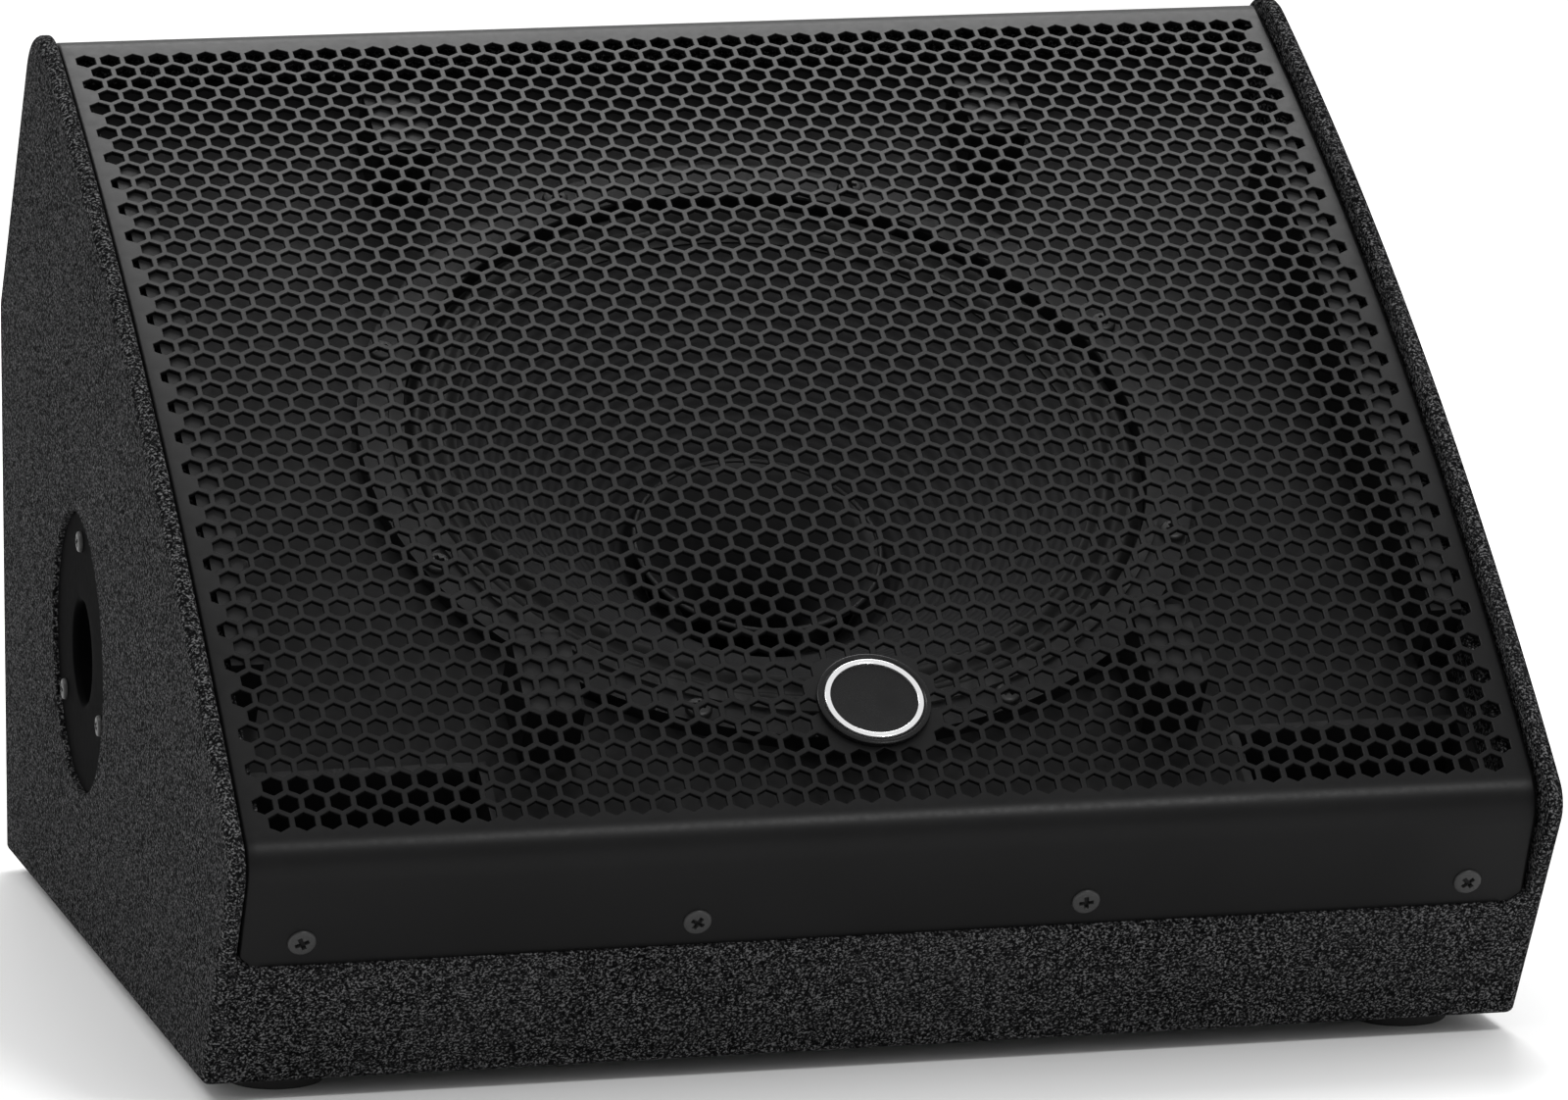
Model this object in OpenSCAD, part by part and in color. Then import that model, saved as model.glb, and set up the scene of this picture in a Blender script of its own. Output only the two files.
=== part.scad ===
// Stage monitor wedge with a 12-inch coaxial driver and a built-in amplifier.
// Millimetres, +Z up. The front faces -Y and the left side panel is at -X.
// The origin is on the floor, under the middle of the cabinet.

/* [Cabinet] */
// Width over the two side panels
body_w = 458; // [430:1:560]
// Length of the front face, from its top corner to its knee
face_len = 432; // [410:1:540]
// Angle that the front face leans back from the floor
face_tilt = 33; // [30:0.5:38]
// Height of the knee above the cabinet's base
knee_h = 85; // [80:1:120]
// Height of the upright rear face above the cabinet's base
rear_h = 204; // [195:1:250]
// Radius of the bow in the front face
front_r = 1390; // [1150:10:2000]
// Radius of the top corner in side view
nose_r = 28; // [16:1:34]
// Radius of the knee in side view
knee_r = 12; // [8:1:18]
// Radius of the corner between the rear faces
shoulder_r = 12; // [4:1:20]
// Radius of the two bottom corners in side view
base_r = 3; // [1:0.5:6]
// Thickness of the plywood panels
wall = 15; // [14:0.5:18]
// Thickness of the baffle
baffle_t = 18; // [15:0.5:22]

/* [Grille] */
// Thickness of the grille's steel
grille_t = 1.5; // [1:0.1:2]
// Depth of the grille's face below the side panels' edges
grille_inset = 5.5; // [3:0.1:7]
// Width of the side panels' edge beside the grille
lip_w = 6; // [4:0.1:9]
// Gap between the grille and that edge
grille_gap = 1.2; // [0.5:0.1:2]
// Outer radius of the grille's bends
bend_r = 14; // [10:0.5:20]
// Length of the front flange, measured from the face's corner line
lower_flange = 48; // [40:1:54]
// Length of the rear flange, measured from the face's corner line
upper_flange = 34; // [28:1:38]
// Angle that the lower flange leans out of square
flange_lean = 6.5; // [0:0.5:8]
// Chamfer of the flange's free corners
flange_chamfer = 5; // [2:0.5:8]
// Distance of the outer grille screws from the middle
grille_screw_x = 201; // [150:1:205]
// Distance of the grille screws from the flange's edge
grille_screw_edge = 9.5; // [7:0.5:12]
// Setback of the baffle's face behind the grille's face
baffle_setback = 34; // [28:0.5:42]
// Width of the rails that carry the grille's sides
rail_w = 11; // [6:0.5:16]
// Half of the rails' length
rail_half = 125; // [80:1:150]
// Width of a spacer block
spacer_w = 20; // [12:1:30]
// Length of a spacer block
spacer_len = 34; // [20:1:50]
// Distance of the spacer blocks from the middle
spacer_x = 108; // [100:1:130]
// Place of the upper spacer blocks, up the slope
spacer_up = 148; // [140:1:170]
// Place of the lower spacer blocks, down the slope
spacer_down = 134; // [132:1:150]
// Place of the badge, down the slope
badge_down = 155; // [140:1:170]
// Radius of the badge's plate
badge_r = 19.5; // [15:0.5:26]
// Radius of the badge's ring
badge_ring_r = 16.85; // [12:0.05:22]

/* [Woofer] */
// Radius of the woofer's front ring
woofer_r = 146; // [140:0.5:152]
// Distance of the woofer's centre down the slope
woofer_down = 5.6; // [0:0.1:12]
// Thickness of the front ring
ring_t = 6; // [4:0.5:8]
// Width of the front ring
ring_w = 16; // [14:0.5:20]
// Depth of the cast basket behind the baffle's face
basket_depth = 88; // [84:1:96]
// Radius of the spider's seat in the basket
seat_r = 62; // [58:0.5:66]
// Width of the surround between the cone and the front ring
surround_w = 18; // [14:0.5:24]
// Inner radius of the voice coil's former
coil_r = 37.6; // [32:0.1:40]
// Travel of the cone each way
cone_travel = 5; // [3:0.5:7]
// Radius of the woofer's magnet
magnet_r = 62; // [56:0.5:64]
// Radius of the horn's mouth
horn_r = 44.5; // [41:0.5:50]
// Depth of the horn's mouth behind the baffle's face
horn_depth = 42; // [38:0.5:44]
// Radius of the horn's throat
throat_r = 18; // [12.5:0.5:19]
// Radius of the high-frequency driver
tweeter_r = 40; // [36:0.5:41]

/* [Ports] */
// Width of a port
port_w = 78; // [60:1:80]
// Height of a port
port_h = 34; // [24:1:36]
// Length of a port's duct
port_len = 66; // [40:1:72]
// Wall of a port's duct
port_wall = 3; // [2:0.5:4]
// Gap between a port's duct and the side panel
port_side = 1; // [0.5:0.5:10]
// Gap between a port's duct and the lower front panel
port_front = 12; // [8:1:16]

/* [Feet] */
// Radius of a rubber foot
foot_r = 18; // [14:0.5:22]
// Height of a rubber foot
foot_h = 7; // [5:0.5:12]
// Distance from a foot's centre to the side panel's face
foot_side = 31.5; // [26:0.5:45]
// Distance from a foot's centre to the base's front or rear edge
foot_end = 33; // [28:1:60]

/* [Pole socket] */
// Bore of the socket, for a 35 mm pole
pole_d = 35.5; // [35.2:0.1:36]
// Depth of the bore
pole_depth = 82; // [70:1:90]
// Radius of the socket's plate
socket_r = 49.5; // [45:0.5:54]
// Distance of the socket's axis from the rear face
socket_d = 155; // [140:1:180]
// Height of the socket's axis above the cabinet's base
socket_z = 103.5; // [95:0.5:125]
// Radius of the circle of its three screws
socket_pcr = 39.5; // [36:0.5:44]

/* [Handle] */
// Length of the handle's dish
handle_w = 172; // [150:1:190]
// Height of the handle's dish
handle_h = 100; // [88:1:110]
// Depth of the handle's dish
handle_depth = 46; // [40:1:52]
// Distance of the handle's middle from the rear face
handle_d = 188; // [170:1:196]
// Height of the handle's middle above the cabinet's base
handle_z = 104; // [98:1:108]

/* [Amplifier] */
// Width of the amplifier's panel
amp_w = 304; // [290:1:340]
// Height of the amplifier's panel
amp_h = 140; // [132:1:146]
// Height of the panel's middle above the cabinet's base
amp_z = 90; // [84:1:94]
// Depth of the panel's tray
tray_depth = 22; // [20:1:28]
// Width of the flange round the tray
tray_flange = 10; // [8:0.5:14]
// Thickness of the panel's sheet
tray_t = 2; // [1.5:0.1:3]
// Radius of a level knob
knob_r = 7.5; // [6:0.5:9]
// Height of a level knob
knob_h = 11; // [8:0.5:14]
// Angle that the power rocker turns
rocker_turn = 16; // [10:1:20]

/* [Hidden] */
$fn = 96;

// Amount that a cutting shape runs past the face it cuts
over = 1;
// Length that is longer than any part of the cabinet
reach = 2 * face_len;
// Clearance round a part that drops into a cut-out
slip = 0.3;
// Clearance round a screw in its hole
screw_slip = 0.05;
// Colours
paint = [0.11, 0.11, 0.12];
steel_black = [0.16, 0.16, 0.17];
plastic = [0.08, 0.08, 0.09];
plywood = [0.55, 0.42, 0.28];
zinc = [0.62, 0.63, 0.66];
cast_metal = [0.2, 0.2, 0.22];
rubber = [0.05, 0.05, 0.05];
copper = [0.72, 0.42, 0.22];
board_green = [0.08, 0.3, 0.16];

// ---- Cabinet geometry -------------------------------------------------------------------------
// The lower front and upper rear faces are square to the front face's chord, so everything on the
// front is placed in the "front frame": its origin is the middle of the chord, its first axis runs
// up the slope and its last axis points out of the face.
half = face_len / 2;
inner_w = body_w - 2 * wall;
top_h = knee_h + face_len * sin(face_tilt);
rear_run = (top_h - rear_h) * tan(face_tilt);
bow_drop = sqrt(front_r * front_r - half * half);
chord_d = rear_run + half * cos(face_tilt);
chord_h = knee_h + half * sin(face_tilt);
knee_centre = corner_centre(knee_r, front_r, half);
body_d = chord_d + knee_centre[0] * cos(face_tilt) + knee_centre[1] * sin(face_tilt) + knee_r;
rear_y = body_d / 2;
front_y = rear_y - chord_d;
front_z = foot_h + chord_h;
toe_y = rear_y - (chord_d + half * cos(face_tilt) - knee_h * tan(face_tilt));

// Centre of a corner of radius r between the bowed face and the face square to its chord
function corner_centre(r, bow, side) = [side - r, sqrt(pow(bow - r, 2) - pow(side - r, 2)) - bow_drop];

// That corner's points, from the bowed face round to the square face
function corner_points(r, bow, side, lean = 0, steps = 10) =
    let (c = corner_centre(r, bow, side), start = atan2(c[0], c[1] + bow_drop))
    [for (i = [0 : steps]) let (a = start + (90 - lean - start) * i / steps) c + r * [sin(a), cos(a)]];

// Distance from the middle to the leaning line that follows corner points, at a height z
function lean_side(points, lean, z) =
    let (p = points[len(points) - 1]) p[0] + (p[1] - z) * tan(lean);

// The bowed face between its corners, from the upper end to the lower end
function bow_points(bow, upper, lower, steps = 20) =
    [for (i = [1 : steps - 1]) let (y = upper + (lower - upper) * i / steps)
        [y, sqrt(bow * bow - y * y) - bow_drop]];

function reversed(list) = [for (i = [len(list) - 1 : -1 : 0]) list[i]];
function mirrored(list) = [for (p = list) [-p[0], p[1]]];

// The whole front profile at an inset: rear side line, upper corner, bow, lower corner, front side line
function front_profile(inset, r_up, r_low, drop_up, drop_low, lean = 0) =
    let (bow = front_r - inset, side = half - inset,
        up = corner_points(r_up, bow, side), low = corner_points(r_low, bow, side, lean))
    concat([[side, -drop_up]], reversed(up), bow_points(bow, up[0][0], -low[0][0]), mirrored(low),
        [[-lean_side(low, lean, -drop_low), -drop_low]]);

// A point of the front frame in the cabinet's side view
function from_front(p) = [front_y + p[0] * cos(face_tilt) - p[1] * sin(face_tilt),
    front_z + p[0] * sin(face_tilt) + p[1] * cos(face_tilt)];

// Rounds the corner at p between its neighbours a and b
function rounded(a, p, b, r, steps = 6) =
    let (u = (a - p) / norm(a - p), v = (b - p) / norm(b - p), turn = acos(u * v) / 2,
        w = (u + v) / norm(u + v), c = p + w * r / sin(turn),
        s = p + u * r / tan(turn) - c, e = p + v * r / tan(turn) - c)
    [for (i = [0 : steps]) let (k = i / steps, m = s * (1 - k) + e * k) c + r * m / norm(m)];

heel = [rear_y, foot_h];
toe = [toe_y, foot_h];
shoulder = [rear_y, foot_h + rear_h];
top_line = front_profile(0, nose_r, knee_r, nose_r + over, knee_r + over);
side_profile = [for (p = top_line) from_front(p)];
nose_start = side_profile[0];
knee_end = side_profile[len(side_profile) - 1];

module cabinet_profile() {
    polygon(concat(side_profile, rounded(knee_end, toe, heel, base_r),
        rounded(toe, heel, shoulder, base_r), rounded(heel, shoulder, nose_start, shoulder_r)));
}

module in_front_plane() {
    translate([front_y, front_z]) rotate(face_tilt) children();
}

// Where the front, rear and side parts sit: local +Z points out of each. The rear and side parts'
// plates are sunk into the panels, so that their screw heads don't stand out of the cabinet.
plate_sunk = 1.8;
module on_front() {
    translate([0, front_y, front_z]) rotate([face_tilt, 0, 0]) children();
}
module on_rear() {
    translate([0, rear_y - plate_sunk, foot_h + amp_z]) rotate([90, 0, 180]) children();
}
module on_left(d, z) {
    translate([plate_sunk - body_w / 2, rear_y - d, foot_h + z]) rotate([90, 0, -90]) children();
}
module on_right(d, z) {
    translate([body_w / 2 - plate_sunk, rear_y - d, foot_h + z]) rotate([90, 0, 90]) children();
}

// Draws a side-view shape from x0 to x1
module across(x0, x1) {
    translate([x0, 0, 0]) rotate([90, 0, 90]) linear_extrude(x1 - x0) children();
}
module mirror_pair() {
    children();
    mirror([1, 0, 0]) children();
}

// Everything behind the grille's sheet, and the pocket that the grille lies in
grille_back = grille_inset + grille_t;
under_grille = front_profile(grille_back, bend_r - grille_t, bend_r - grille_t, reach, reach, flange_lean);
module under_grille_shape() {
    polygon(under_grille);
}
module grille_pocket() {
    in_front_plane() difference() {
        polygon([[-reach, reach], [-reach, -lower_flange - slip], [0, -lower_flange - slip],
            [0, -upper_flange - slip], [reach, -upper_flange - slip], [reach, reach]]);
        under_grille_shape();
    }
}
module upper_side() {
    in_front_plane() translate([half - wall, -reach]) square([reach, 2 * reach]);
}
module lower_side() {
    in_front_plane() translate([-half + wall - reach, -reach]) square([reach, 2 * reach]);
}

// ---- Fasteners ---------------------------------------------------------------------------------
screw_cover = 1;
// Height of a foot screw's head above the floor
foot_seat = foot_h - 3;
grille_screw = [4.9, 1.2, 2.4, wall - grille_inset - 2.4 - screw_cover];
small_screw = [3.8, 1.6, 1.9, wall - plate_sunk - 1.9 - screw_cover];
wood_screw = [4.6, 2.4, 2.4, foot_h - foot_seat + wall - 2.4 - screw_cover];

// A pan-head screw that bears on z = 0: size is [head radius, head height, shank radius, length]
module screw(size) {
    rotate_extrude() polygon([[0, size[1]], [size[0] * 0.6, size[1]], [size[0], size[1] * 0.45],
        [size[0], 0], [size[2], 0], [size[2], -size[3]], [0, -size[3] - size[2]]]);
}
module screw_hole(size) {
    depth = size[3] + size[2] + screw_slip;
    translate([0, 0, -depth]) cylinder(r = size[2] + screw_slip, h = depth + 4 * over);
}

// The two rows of grille screws, on the flanges' faces
flange_face = half - grille_inset;
lower_bend = corner_points(bend_r, front_r - grille_inset, flange_face, flange_lean);
module at_grille_screws() {
    low_z = grille_screw_edge - lower_flange;
    for (x = [-1, -1 / 3, 1 / 3, 1]) {
        on_front() translate([x * grille_screw_x, -lean_side(lower_bend, flange_lean, low_z), low_z])
            rotate([90 - flange_lean, 0, 0]) children();
        on_front() translate([x * grille_screw_x, flange_face, grille_screw_edge - upper_flange])
            rotate([-90, 0, 0]) children();
    }
}

// ---- Panels ------------------------------------------------------------------------------------
socket_plate_t = 3;
socket_tube_r = pole_d / 2 + 5;

module side_panel() {
    difference() {
        across(body_w / 2 - wall, body_w / 2) cabinet_profile();
        across(body_w / 2 - wall - over, body_w / 2 - lip_w) grille_pocket();
    }
}
module side_panel_left() {
    color(paint) difference() {
        mirror([1, 0, 0]) side_panel();
        on_left(socket_d, socket_z) {
            translate([0, 0, -socket_plate_t])
                cylinder(r = socket_r + slip, h = socket_plate_t + plate_sunk + over);
            translate([0, 0, -wall]) cylinder(r = socket_tube_r + slip, h = wall + over);
            at_socket_screws() screw_hole(small_screw);
        }
    }
}
module side_panel_right() {
    color(paint) difference() {
        side_panel();
        on_right(handle_d, handle_z) {
            translate([0, 0, -dish_t]) rounded_block(handle_w + 2 * slip, handle_h + 2 * slip,
                dish_corner, dish_t + plate_sunk + over);
            translate([0, 0, -wall])
                rounded_block(dish_w + 2 * slip, dish_h + 2 * slip, dish_corner, wall + over);
            at_handle_screws() screw_hole(small_screw);
        }
    }
}
module bottom_panel() {
    color(paint) difference() {
        across(-inner_w / 2, inner_w / 2) difference() {
            intersection() {
                cabinet_profile();
                translate([-reach, 0]) square([reach + rear_y - wall, foot_h + wall]);
            }
            lower_side();
        }
        at_foot_screws() screw_hole(wood_screw);
    }
}
module rear_panel() {
    color(paint) difference() {
        across(-inner_w / 2, inner_w / 2) difference() {
            intersection() {
                cabinet_profile();
                translate([rear_y - wall, 0]) square([wall, reach]);
            }
            upper_side();
        }
        on_rear() {
            translate([0, 0, -tray_t])
                flat_block(amp_w + 2 * slip, amp_h + 2 * slip, tray_t + plate_sunk + over);
            translate([0, 0, -wall]) flat_block(tray_w + 2 * slip, tray_h + 2 * slip, wall + over);
            at_amp_screws() screw_hole(small_screw);
        }
    }
}
module upper_rear_panel() {
    color(paint) difference() {
        across(-inner_w / 2, inner_w / 2) difference() {
            intersection() {
                cabinet_profile();
                upper_side();
            }
            grille_pocket();
        }
        at_grille_screws() screw_hole(grille_screw);
    }
}
module lower_front_panel() {
    color(paint) difference() {
        across(-inner_w / 2, inner_w / 2) difference() {
            intersection() {
                cabinet_profile();
                lower_side();
            }
            grille_pocket();
        }
        at_grille_screws() screw_hole(grille_screw);
    }
}

// ---- Baffle and ports --------------------------------------------------------------------------
baffle_z = front_r - bow_drop - grille_inset - baffle_setback;
inner_half = half - wall;
cutout_r = woofer_r - ring_w + 7;
port_x = inner_w / 2 - port_side - port_wall - port_w / 2;
port_y = -inner_half + port_front + port_wall + port_h / 2;

module at_ports() {
    for (side = [-1, 1]) translate([side * port_x, port_y, 0]) children();
}
module on_woofer() {
    on_front() translate([0, -woofer_down, baffle_z]) children();
}
module baffle() {
    color(paint) difference() {
        on_front() difference() {
            translate([-inner_w / 2, -inner_half, baffle_z - baffle_t])
                cube([inner_w, 2 * inner_half, baffle_t]);
            translate([0, 0, baffle_z - baffle_t - over]) at_ports()
                flat_block(port_w + 2 * port_wall, port_h + 2 * port_wall, baffle_t + 2 * over);
        }
        on_woofer() {
            translate([0, 0, -baffle_t - over]) cylinder(r = cutout_r, h = baffle_t + 2 * over);
            at_woofer_screws() translate([0, 0, ring_t]) screw_hole(wood_screw);
        }
    }
}
module port_duct(side) {
    color(plastic) on_front() translate([side * port_x, port_y, baffle_z - port_len]) difference() {
        flat_block(port_w + 2 * port_wall, port_h + 2 * port_wall, port_len);
        translate([0, 0, -over]) flat_block(port_w, port_h, port_len + 2 * over);
    }
}
module port_duct_left() {
    port_duct(-1);
}
module port_duct_right() {
    port_duct(1);
}
module flat_block(w, h, t) {
    translate([-w / 2, -h / 2, 0]) cube([w, h, t]);
}
module rounded_block(w, h, r, t) {
    linear_extrude(t) rounded_plate(w, h, r);
}
module rounded_plate(w, h, r) {
    square([w - 2 * r, h], center = true);
    square([w, h - 2 * r], center = true);
    for (x = [-1, 1], y = [-1, 1]) translate([x * (w / 2 - r), y * (h / 2 - r)]) circle(r = r, $fn = 48);
}

// Soft lining on the bottom panel, beside the driver, and under the upper rear panel
lining_t = 15;
lining_gap = 58;
lining_side = 8;
lining_end = 14;
upper_face = rear_run / sin(face_tilt);
module damping_lining() {
    front_end = toe_y + 2 * foot_end;
    color([0.45, 0.45, 0.43]) {
        mirror_pair() translate([lining_gap, front_end, foot_h + wall])
            cube([inner_w / 2 - lining_gap - lining_side, rear_y - 3 * foot_end - front_end, lining_t]);
        on_front() translate([-inner_w / 2 + lining_side, inner_half - lining_t, lining_end - upper_face])
            cube([inner_w - 2 * lining_side, lining_t,
                upper_face + baffle_z - baffle_t - lining_end - lining_side]);
    }
}

// ---- Feet --------------------------------------------------------------------------------------
foot_taper = 1.5;
foot_well_r = 6.5;
module at_feet() {
    for (x = [-1, 1], y = [toe_y + foot_end, rear_y - foot_end])
        translate([x * (body_w / 2 - foot_side), y, 0]) children();
}
module at_foot_screws() {
    at_feet() translate([0, 0, foot_seat]) mirror([0, 0, 1]) children();
}
module feet() {
    color(rubber) at_feet() difference() {
        rotate_extrude() polygon([[0, 0], [foot_r - foot_taper, 0], [foot_r - foot_taper / 3, 1],
            [foot_r, foot_h], [0, foot_h]]);
        translate([0, 0, -over]) cylinder(r = foot_well_r, h = foot_seat + over);
        cylinder(r = wood_screw[2] + screw_slip, h = foot_h + over);
    }
}
module foot_screws() {
    color(zinc) at_foot_screws() screw(wood_screw);
}

// ---- Grille, rails, spacers and badge ----------------------------------------------------------
grille_w = body_w - 2 * lip_w - 2 * grille_gap;
module grille() {
    inner_r = bend_r - grille_t;
    outer = front_profile(grille_inset, bend_r, bend_r, upper_flange, lower_flange, flange_lean);
    inner = front_profile(grille_back, inner_r, inner_r, upper_flange, lower_flange, flange_lean);
    color(steel_black) difference() {
        across(-grille_w / 2, grille_w / 2) in_front_plane() polygon(concat(outer, reversed(inner)));
        on_front() for (x = [-1, 1]) {
            translate([x * grille_w / 2, -half, -lower_flange]) flange_corner_cut();
            translate([x * grille_w / 2, half, -upper_flange]) flange_corner_cut();
        }
        at_grille_screws() screw_hole(grille_screw);
    }
}
module flange_corner_cut() {
    side = flange_chamfer * sqrt(2);
    rotate([0, 45, 0]) cube([side, 8 * grille_inset, side], center = true);
}
module grille_screws() {
    color(steel_black) at_grille_screws() screw(grille_screw);
}
// A batten that stands on the baffle and meets the grille's back
module grille_batten(x, w, y0, y1) {
    across(x - w / 2, x + w / 2) in_front_plane() intersection() {
        translate([y0, baffle_z]) square([y1 - y0, reach]);
        under_grille_shape();
    }
}
module grille_rails() {
    color(plastic) mirror_pair() grille_batten(inner_w / 2 - rail_w / 2, rail_w, -rail_half, rail_half);
}
module grille_spacers() {
    color(plastic) mirror_pair() for (y = [spacer_up, -spacer_down])
        grille_batten(spacer_x, spacer_w, y - spacer_len / 2, y + spacer_len / 2);
}
badge_t = 2;
badge_ring_w = 1.4;
module on_badge() {
    bow = front_r - grille_inset;
    on_front() translate([0, -badge_down, sqrt(bow * bow - badge_down * badge_down) - bow_drop])
        rotate([asin(badge_down / bow), 0, 0]) children();
}
module badge_plate() {
    color(plastic) on_badge() cylinder(r = badge_r, h = badge_t);
}
module badge_ring() {
    color([0.85, 0.85, 0.86]) on_badge() translate([0, 0, badge_t]) difference() {
        cylinder(r = badge_ring_r, h = 0.6);
        translate([0, 0, -over]) cylinder(r = badge_ring_r - badge_ring_w, h = 0.6 + 2 * over);
    }
}

// ---- Pole socket -------------------------------------------------------------------------------
socket_floor_t = 4;
socket_mouth = 2.5;
module at_socket_screws() {
    for (a = [90, 210, 330]) rotate(a) translate([socket_pcr, 0, 0]) children();
}
module pole_socket() {
    bore_r = pole_d / 2;
    end_z = -pole_depth - socket_floor_t;
    color(cast_metal) on_left(socket_d, socket_z) difference() {
        rotate_extrude() polygon([[0, end_z], [socket_tube_r, end_z], [socket_tube_r, -socket_plate_t],
            [socket_r, -socket_plate_t], [socket_r, 0], [bore_r + socket_mouth, 0],
            [bore_r, -socket_mouth], [bore_r, -pole_depth], [0, -pole_depth]]);
        at_socket_screws() screw_hole(small_screw);
    }
}
module pole_socket_screws() {
    color(zinc) on_left(socket_d, socket_z) at_socket_screws() screw(small_screw);
}

// ---- Handle ------------------------------------------------------------------------------------
dish_t = 2.5;
dish_corner = 14;
dish_rim = 11;
dish_w = handle_w - 2 * dish_rim;
dish_h = handle_h - 2 * dish_rim;
grip_h = 24;
grip_t = 16;
module at_handle_screws() {
    for (x = [-1, 1], y = [-1, 1])
        translate([x * (handle_w - dish_rim) / 2 - x * dish_rim / 2, y * (handle_h - dish_rim) / 2, 0])
            children();
}
module handle_dish() {
    color(plastic) on_right(handle_d, handle_z) difference() {
        union() {
            translate([0, 0, -dish_t]) rounded_block(handle_w, handle_h, dish_corner, dish_t);
            translate([0, 0, -handle_depth]) rounded_block(dish_w, dish_h, dish_corner, handle_depth);
        }
        translate([0, 0, -handle_depth + dish_t])
            rounded_block(dish_w - 2 * dish_t, dish_h - 2 * dish_t, dish_corner - dish_t, handle_depth);
        at_handle_screws() screw_hole(small_screw);
    }
}
module handle_grip() {
    color(rubber) on_right(handle_d, handle_z) translate([0, 0, -grip_t / 2 - small_screw[1]])
        rotate([90, 0, 90]) translate([0, 0, -dish_w / 2 + dish_t])
            linear_extrude(dish_w - 2 * dish_t) hull() for (y = [-1, 1])
                translate([y * (grip_h - grip_t) / 2, 0]) circle(d = grip_t, $fn = 32);
}
module handle_screws() {
    color(zinc) on_right(handle_d, handle_z) at_handle_screws() screw(small_screw);
}

// ---- Woofer ------------------------------------------------------------------------------------
ring_inner = woofer_r - ring_w;
cone_r = ring_inner - surround_w;
gasket_t = 1.2;
gasket_w = 5;
screw_circle = woofer_r - 5.4;
basket_t = 4;
spider_z = -basket_depth + 10;
former_t = 0.5;
former_r = coil_r + former_t;
cone_t = 1.2;
neck_z = -62;
plate_t = 8;
magnet_t = 16;
back_t = 10;
coil_t = 1.2;
air_gap = 0.6;
plate_z = -basket_depth;
magnet_z = plate_z - plate_t;
back_z = magnet_z - magnet_t;
tweeter_z = back_z - back_t;

module at_woofer_screws() {
    for (i = [0 : 7]) rotate(i * 45 + 22.5) translate([screw_circle, 0, 0]) children();
}
// Outer radius of the basket's sloping wall at a height
basket_rim_z = -6;
basket_heel_r = seat_r + basket_t + 5;
basket_heel_z = -basket_depth + 6;
function basket_wall_r(z) = let (k = (basket_rim_z - z) / (basket_rim_z - basket_heel_z))
    (cutout_r - slip) * (1 - k) + basket_heel_r * k;
module woofer_basket() {
    windows = 6;
    color(cast_metal) on_woofer() difference() {
        union() {
            rotate_extrude() polygon([[ring_inner, ring_t], [woofer_r, ring_t], [woofer_r, 0],
                [cutout_r - slip, 0], [cutout_r - slip, basket_rim_z], [basket_heel_r, basket_heel_z],
                [seat_r + basket_t, -basket_depth], [former_r + 6, -basket_depth],
                [former_r + 6, -basket_depth + basket_t], [seat_r - 5, -basket_depth + basket_t],
                [seat_r - 5, spider_z - 1], [seat_r + 4, spider_z - 1], [ring_inner - 3, -8],
                [ring_inner, 0]]);
        }
        for (i = [0 : windows - 1]) rotate(i * 360 / windows)
            translate([seat_r + 12, 0, -basket_depth + 22]) rotate([0, -48, 0])
                translate([0, -seat_r * 0.38, -30]) cube([ring_inner * 0.42, seat_r * 0.76, 60]);
        at_woofer_screws() translate([0, 0, ring_t]) screw_hole(wood_screw);
    }
}
module woofer_gasket() {
    color(rubber) on_woofer() translate([0, 0, ring_t]) difference() {
        cylinder(r = ring_inner + gasket_w, h = gasket_t);
        translate([0, 0, -over]) cylinder(r = ring_inner, h = gasket_t + 2 * over);
    }
}
module woofer_screws() {
    color(zinc) on_woofer() at_woofer_screws() translate([0, 0, ring_t]) screw(wood_screw);
}
// The cone's depth at a radius: a gentle flare from its neck to its rim
function cone_z(r) = let (k = (r - former_r) / (cone_r - former_r)) neck_z * (1 - pow(k, 0.86));
module woofer_cone() {
    steps = 8;
    face = [for (i = [0 : steps]) let (r = former_r + (cone_r - former_r) * i / steps) [r, cone_z(r)]];
    back = [for (p = reversed(face)) [p[0], p[1] - 1.5 * cone_t]];
    color([0.12, 0.12, 0.13]) on_woofer() rotate_extrude() polygon(concat(face, back));
}
module woofer_surround() {
    color(rubber) on_woofer() rotate_extrude() polygon([[cone_r, -1.5 * cone_t], [cone_r, 0],
        [cone_r + 3, 3.5], [ring_inner - 3, 3.5], [ring_inner, 1], [ring_inner, 0],
        [ring_inner - 3.5, 0.4], [ring_inner - 5, 2], [cone_r + 5, 2], [cone_r + 2, -1]]);
}
module woofer_spider() {
    color([0.5, 0.38, 0.2]) on_woofer() translate([0, 0, spider_z - 1]) difference() {
        cylinder(r = seat_r + 1, h = 1.2);
        translate([0, 0, -over]) cylinder(r = former_r, h = 3 * over);
    }
}
module tube(inner, outer, z0, z1) {
    translate([0, 0, z0]) difference() {
        cylinder(r = outer, h = z1 - z0);
        translate([0, 0, -over]) cylinder(r = inner, h = z1 - z0 + 2 * over);
    }
}
coil_half = 8;
coil_z = plate_z - plate_t / 2;
module coil_former() {
    color([0.6, 0.5, 0.3]) on_woofer() tube(coil_r, former_r, coil_z - coil_half, neck_z);
}
module voice_coil() {
    color(copper) on_woofer() tube(former_r, former_r + coil_t, coil_z - coil_half, coil_z + coil_half);
}
module woofer_top_plate() {
    color(zinc) on_woofer() tube(former_r + coil_t + air_gap, magnet_r - 2, magnet_z, plate_z);
}
module woofer_magnet() {
    color(cast_metal) on_woofer() tube(former_r + 8, magnet_r, back_z, magnet_z);
}
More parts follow.
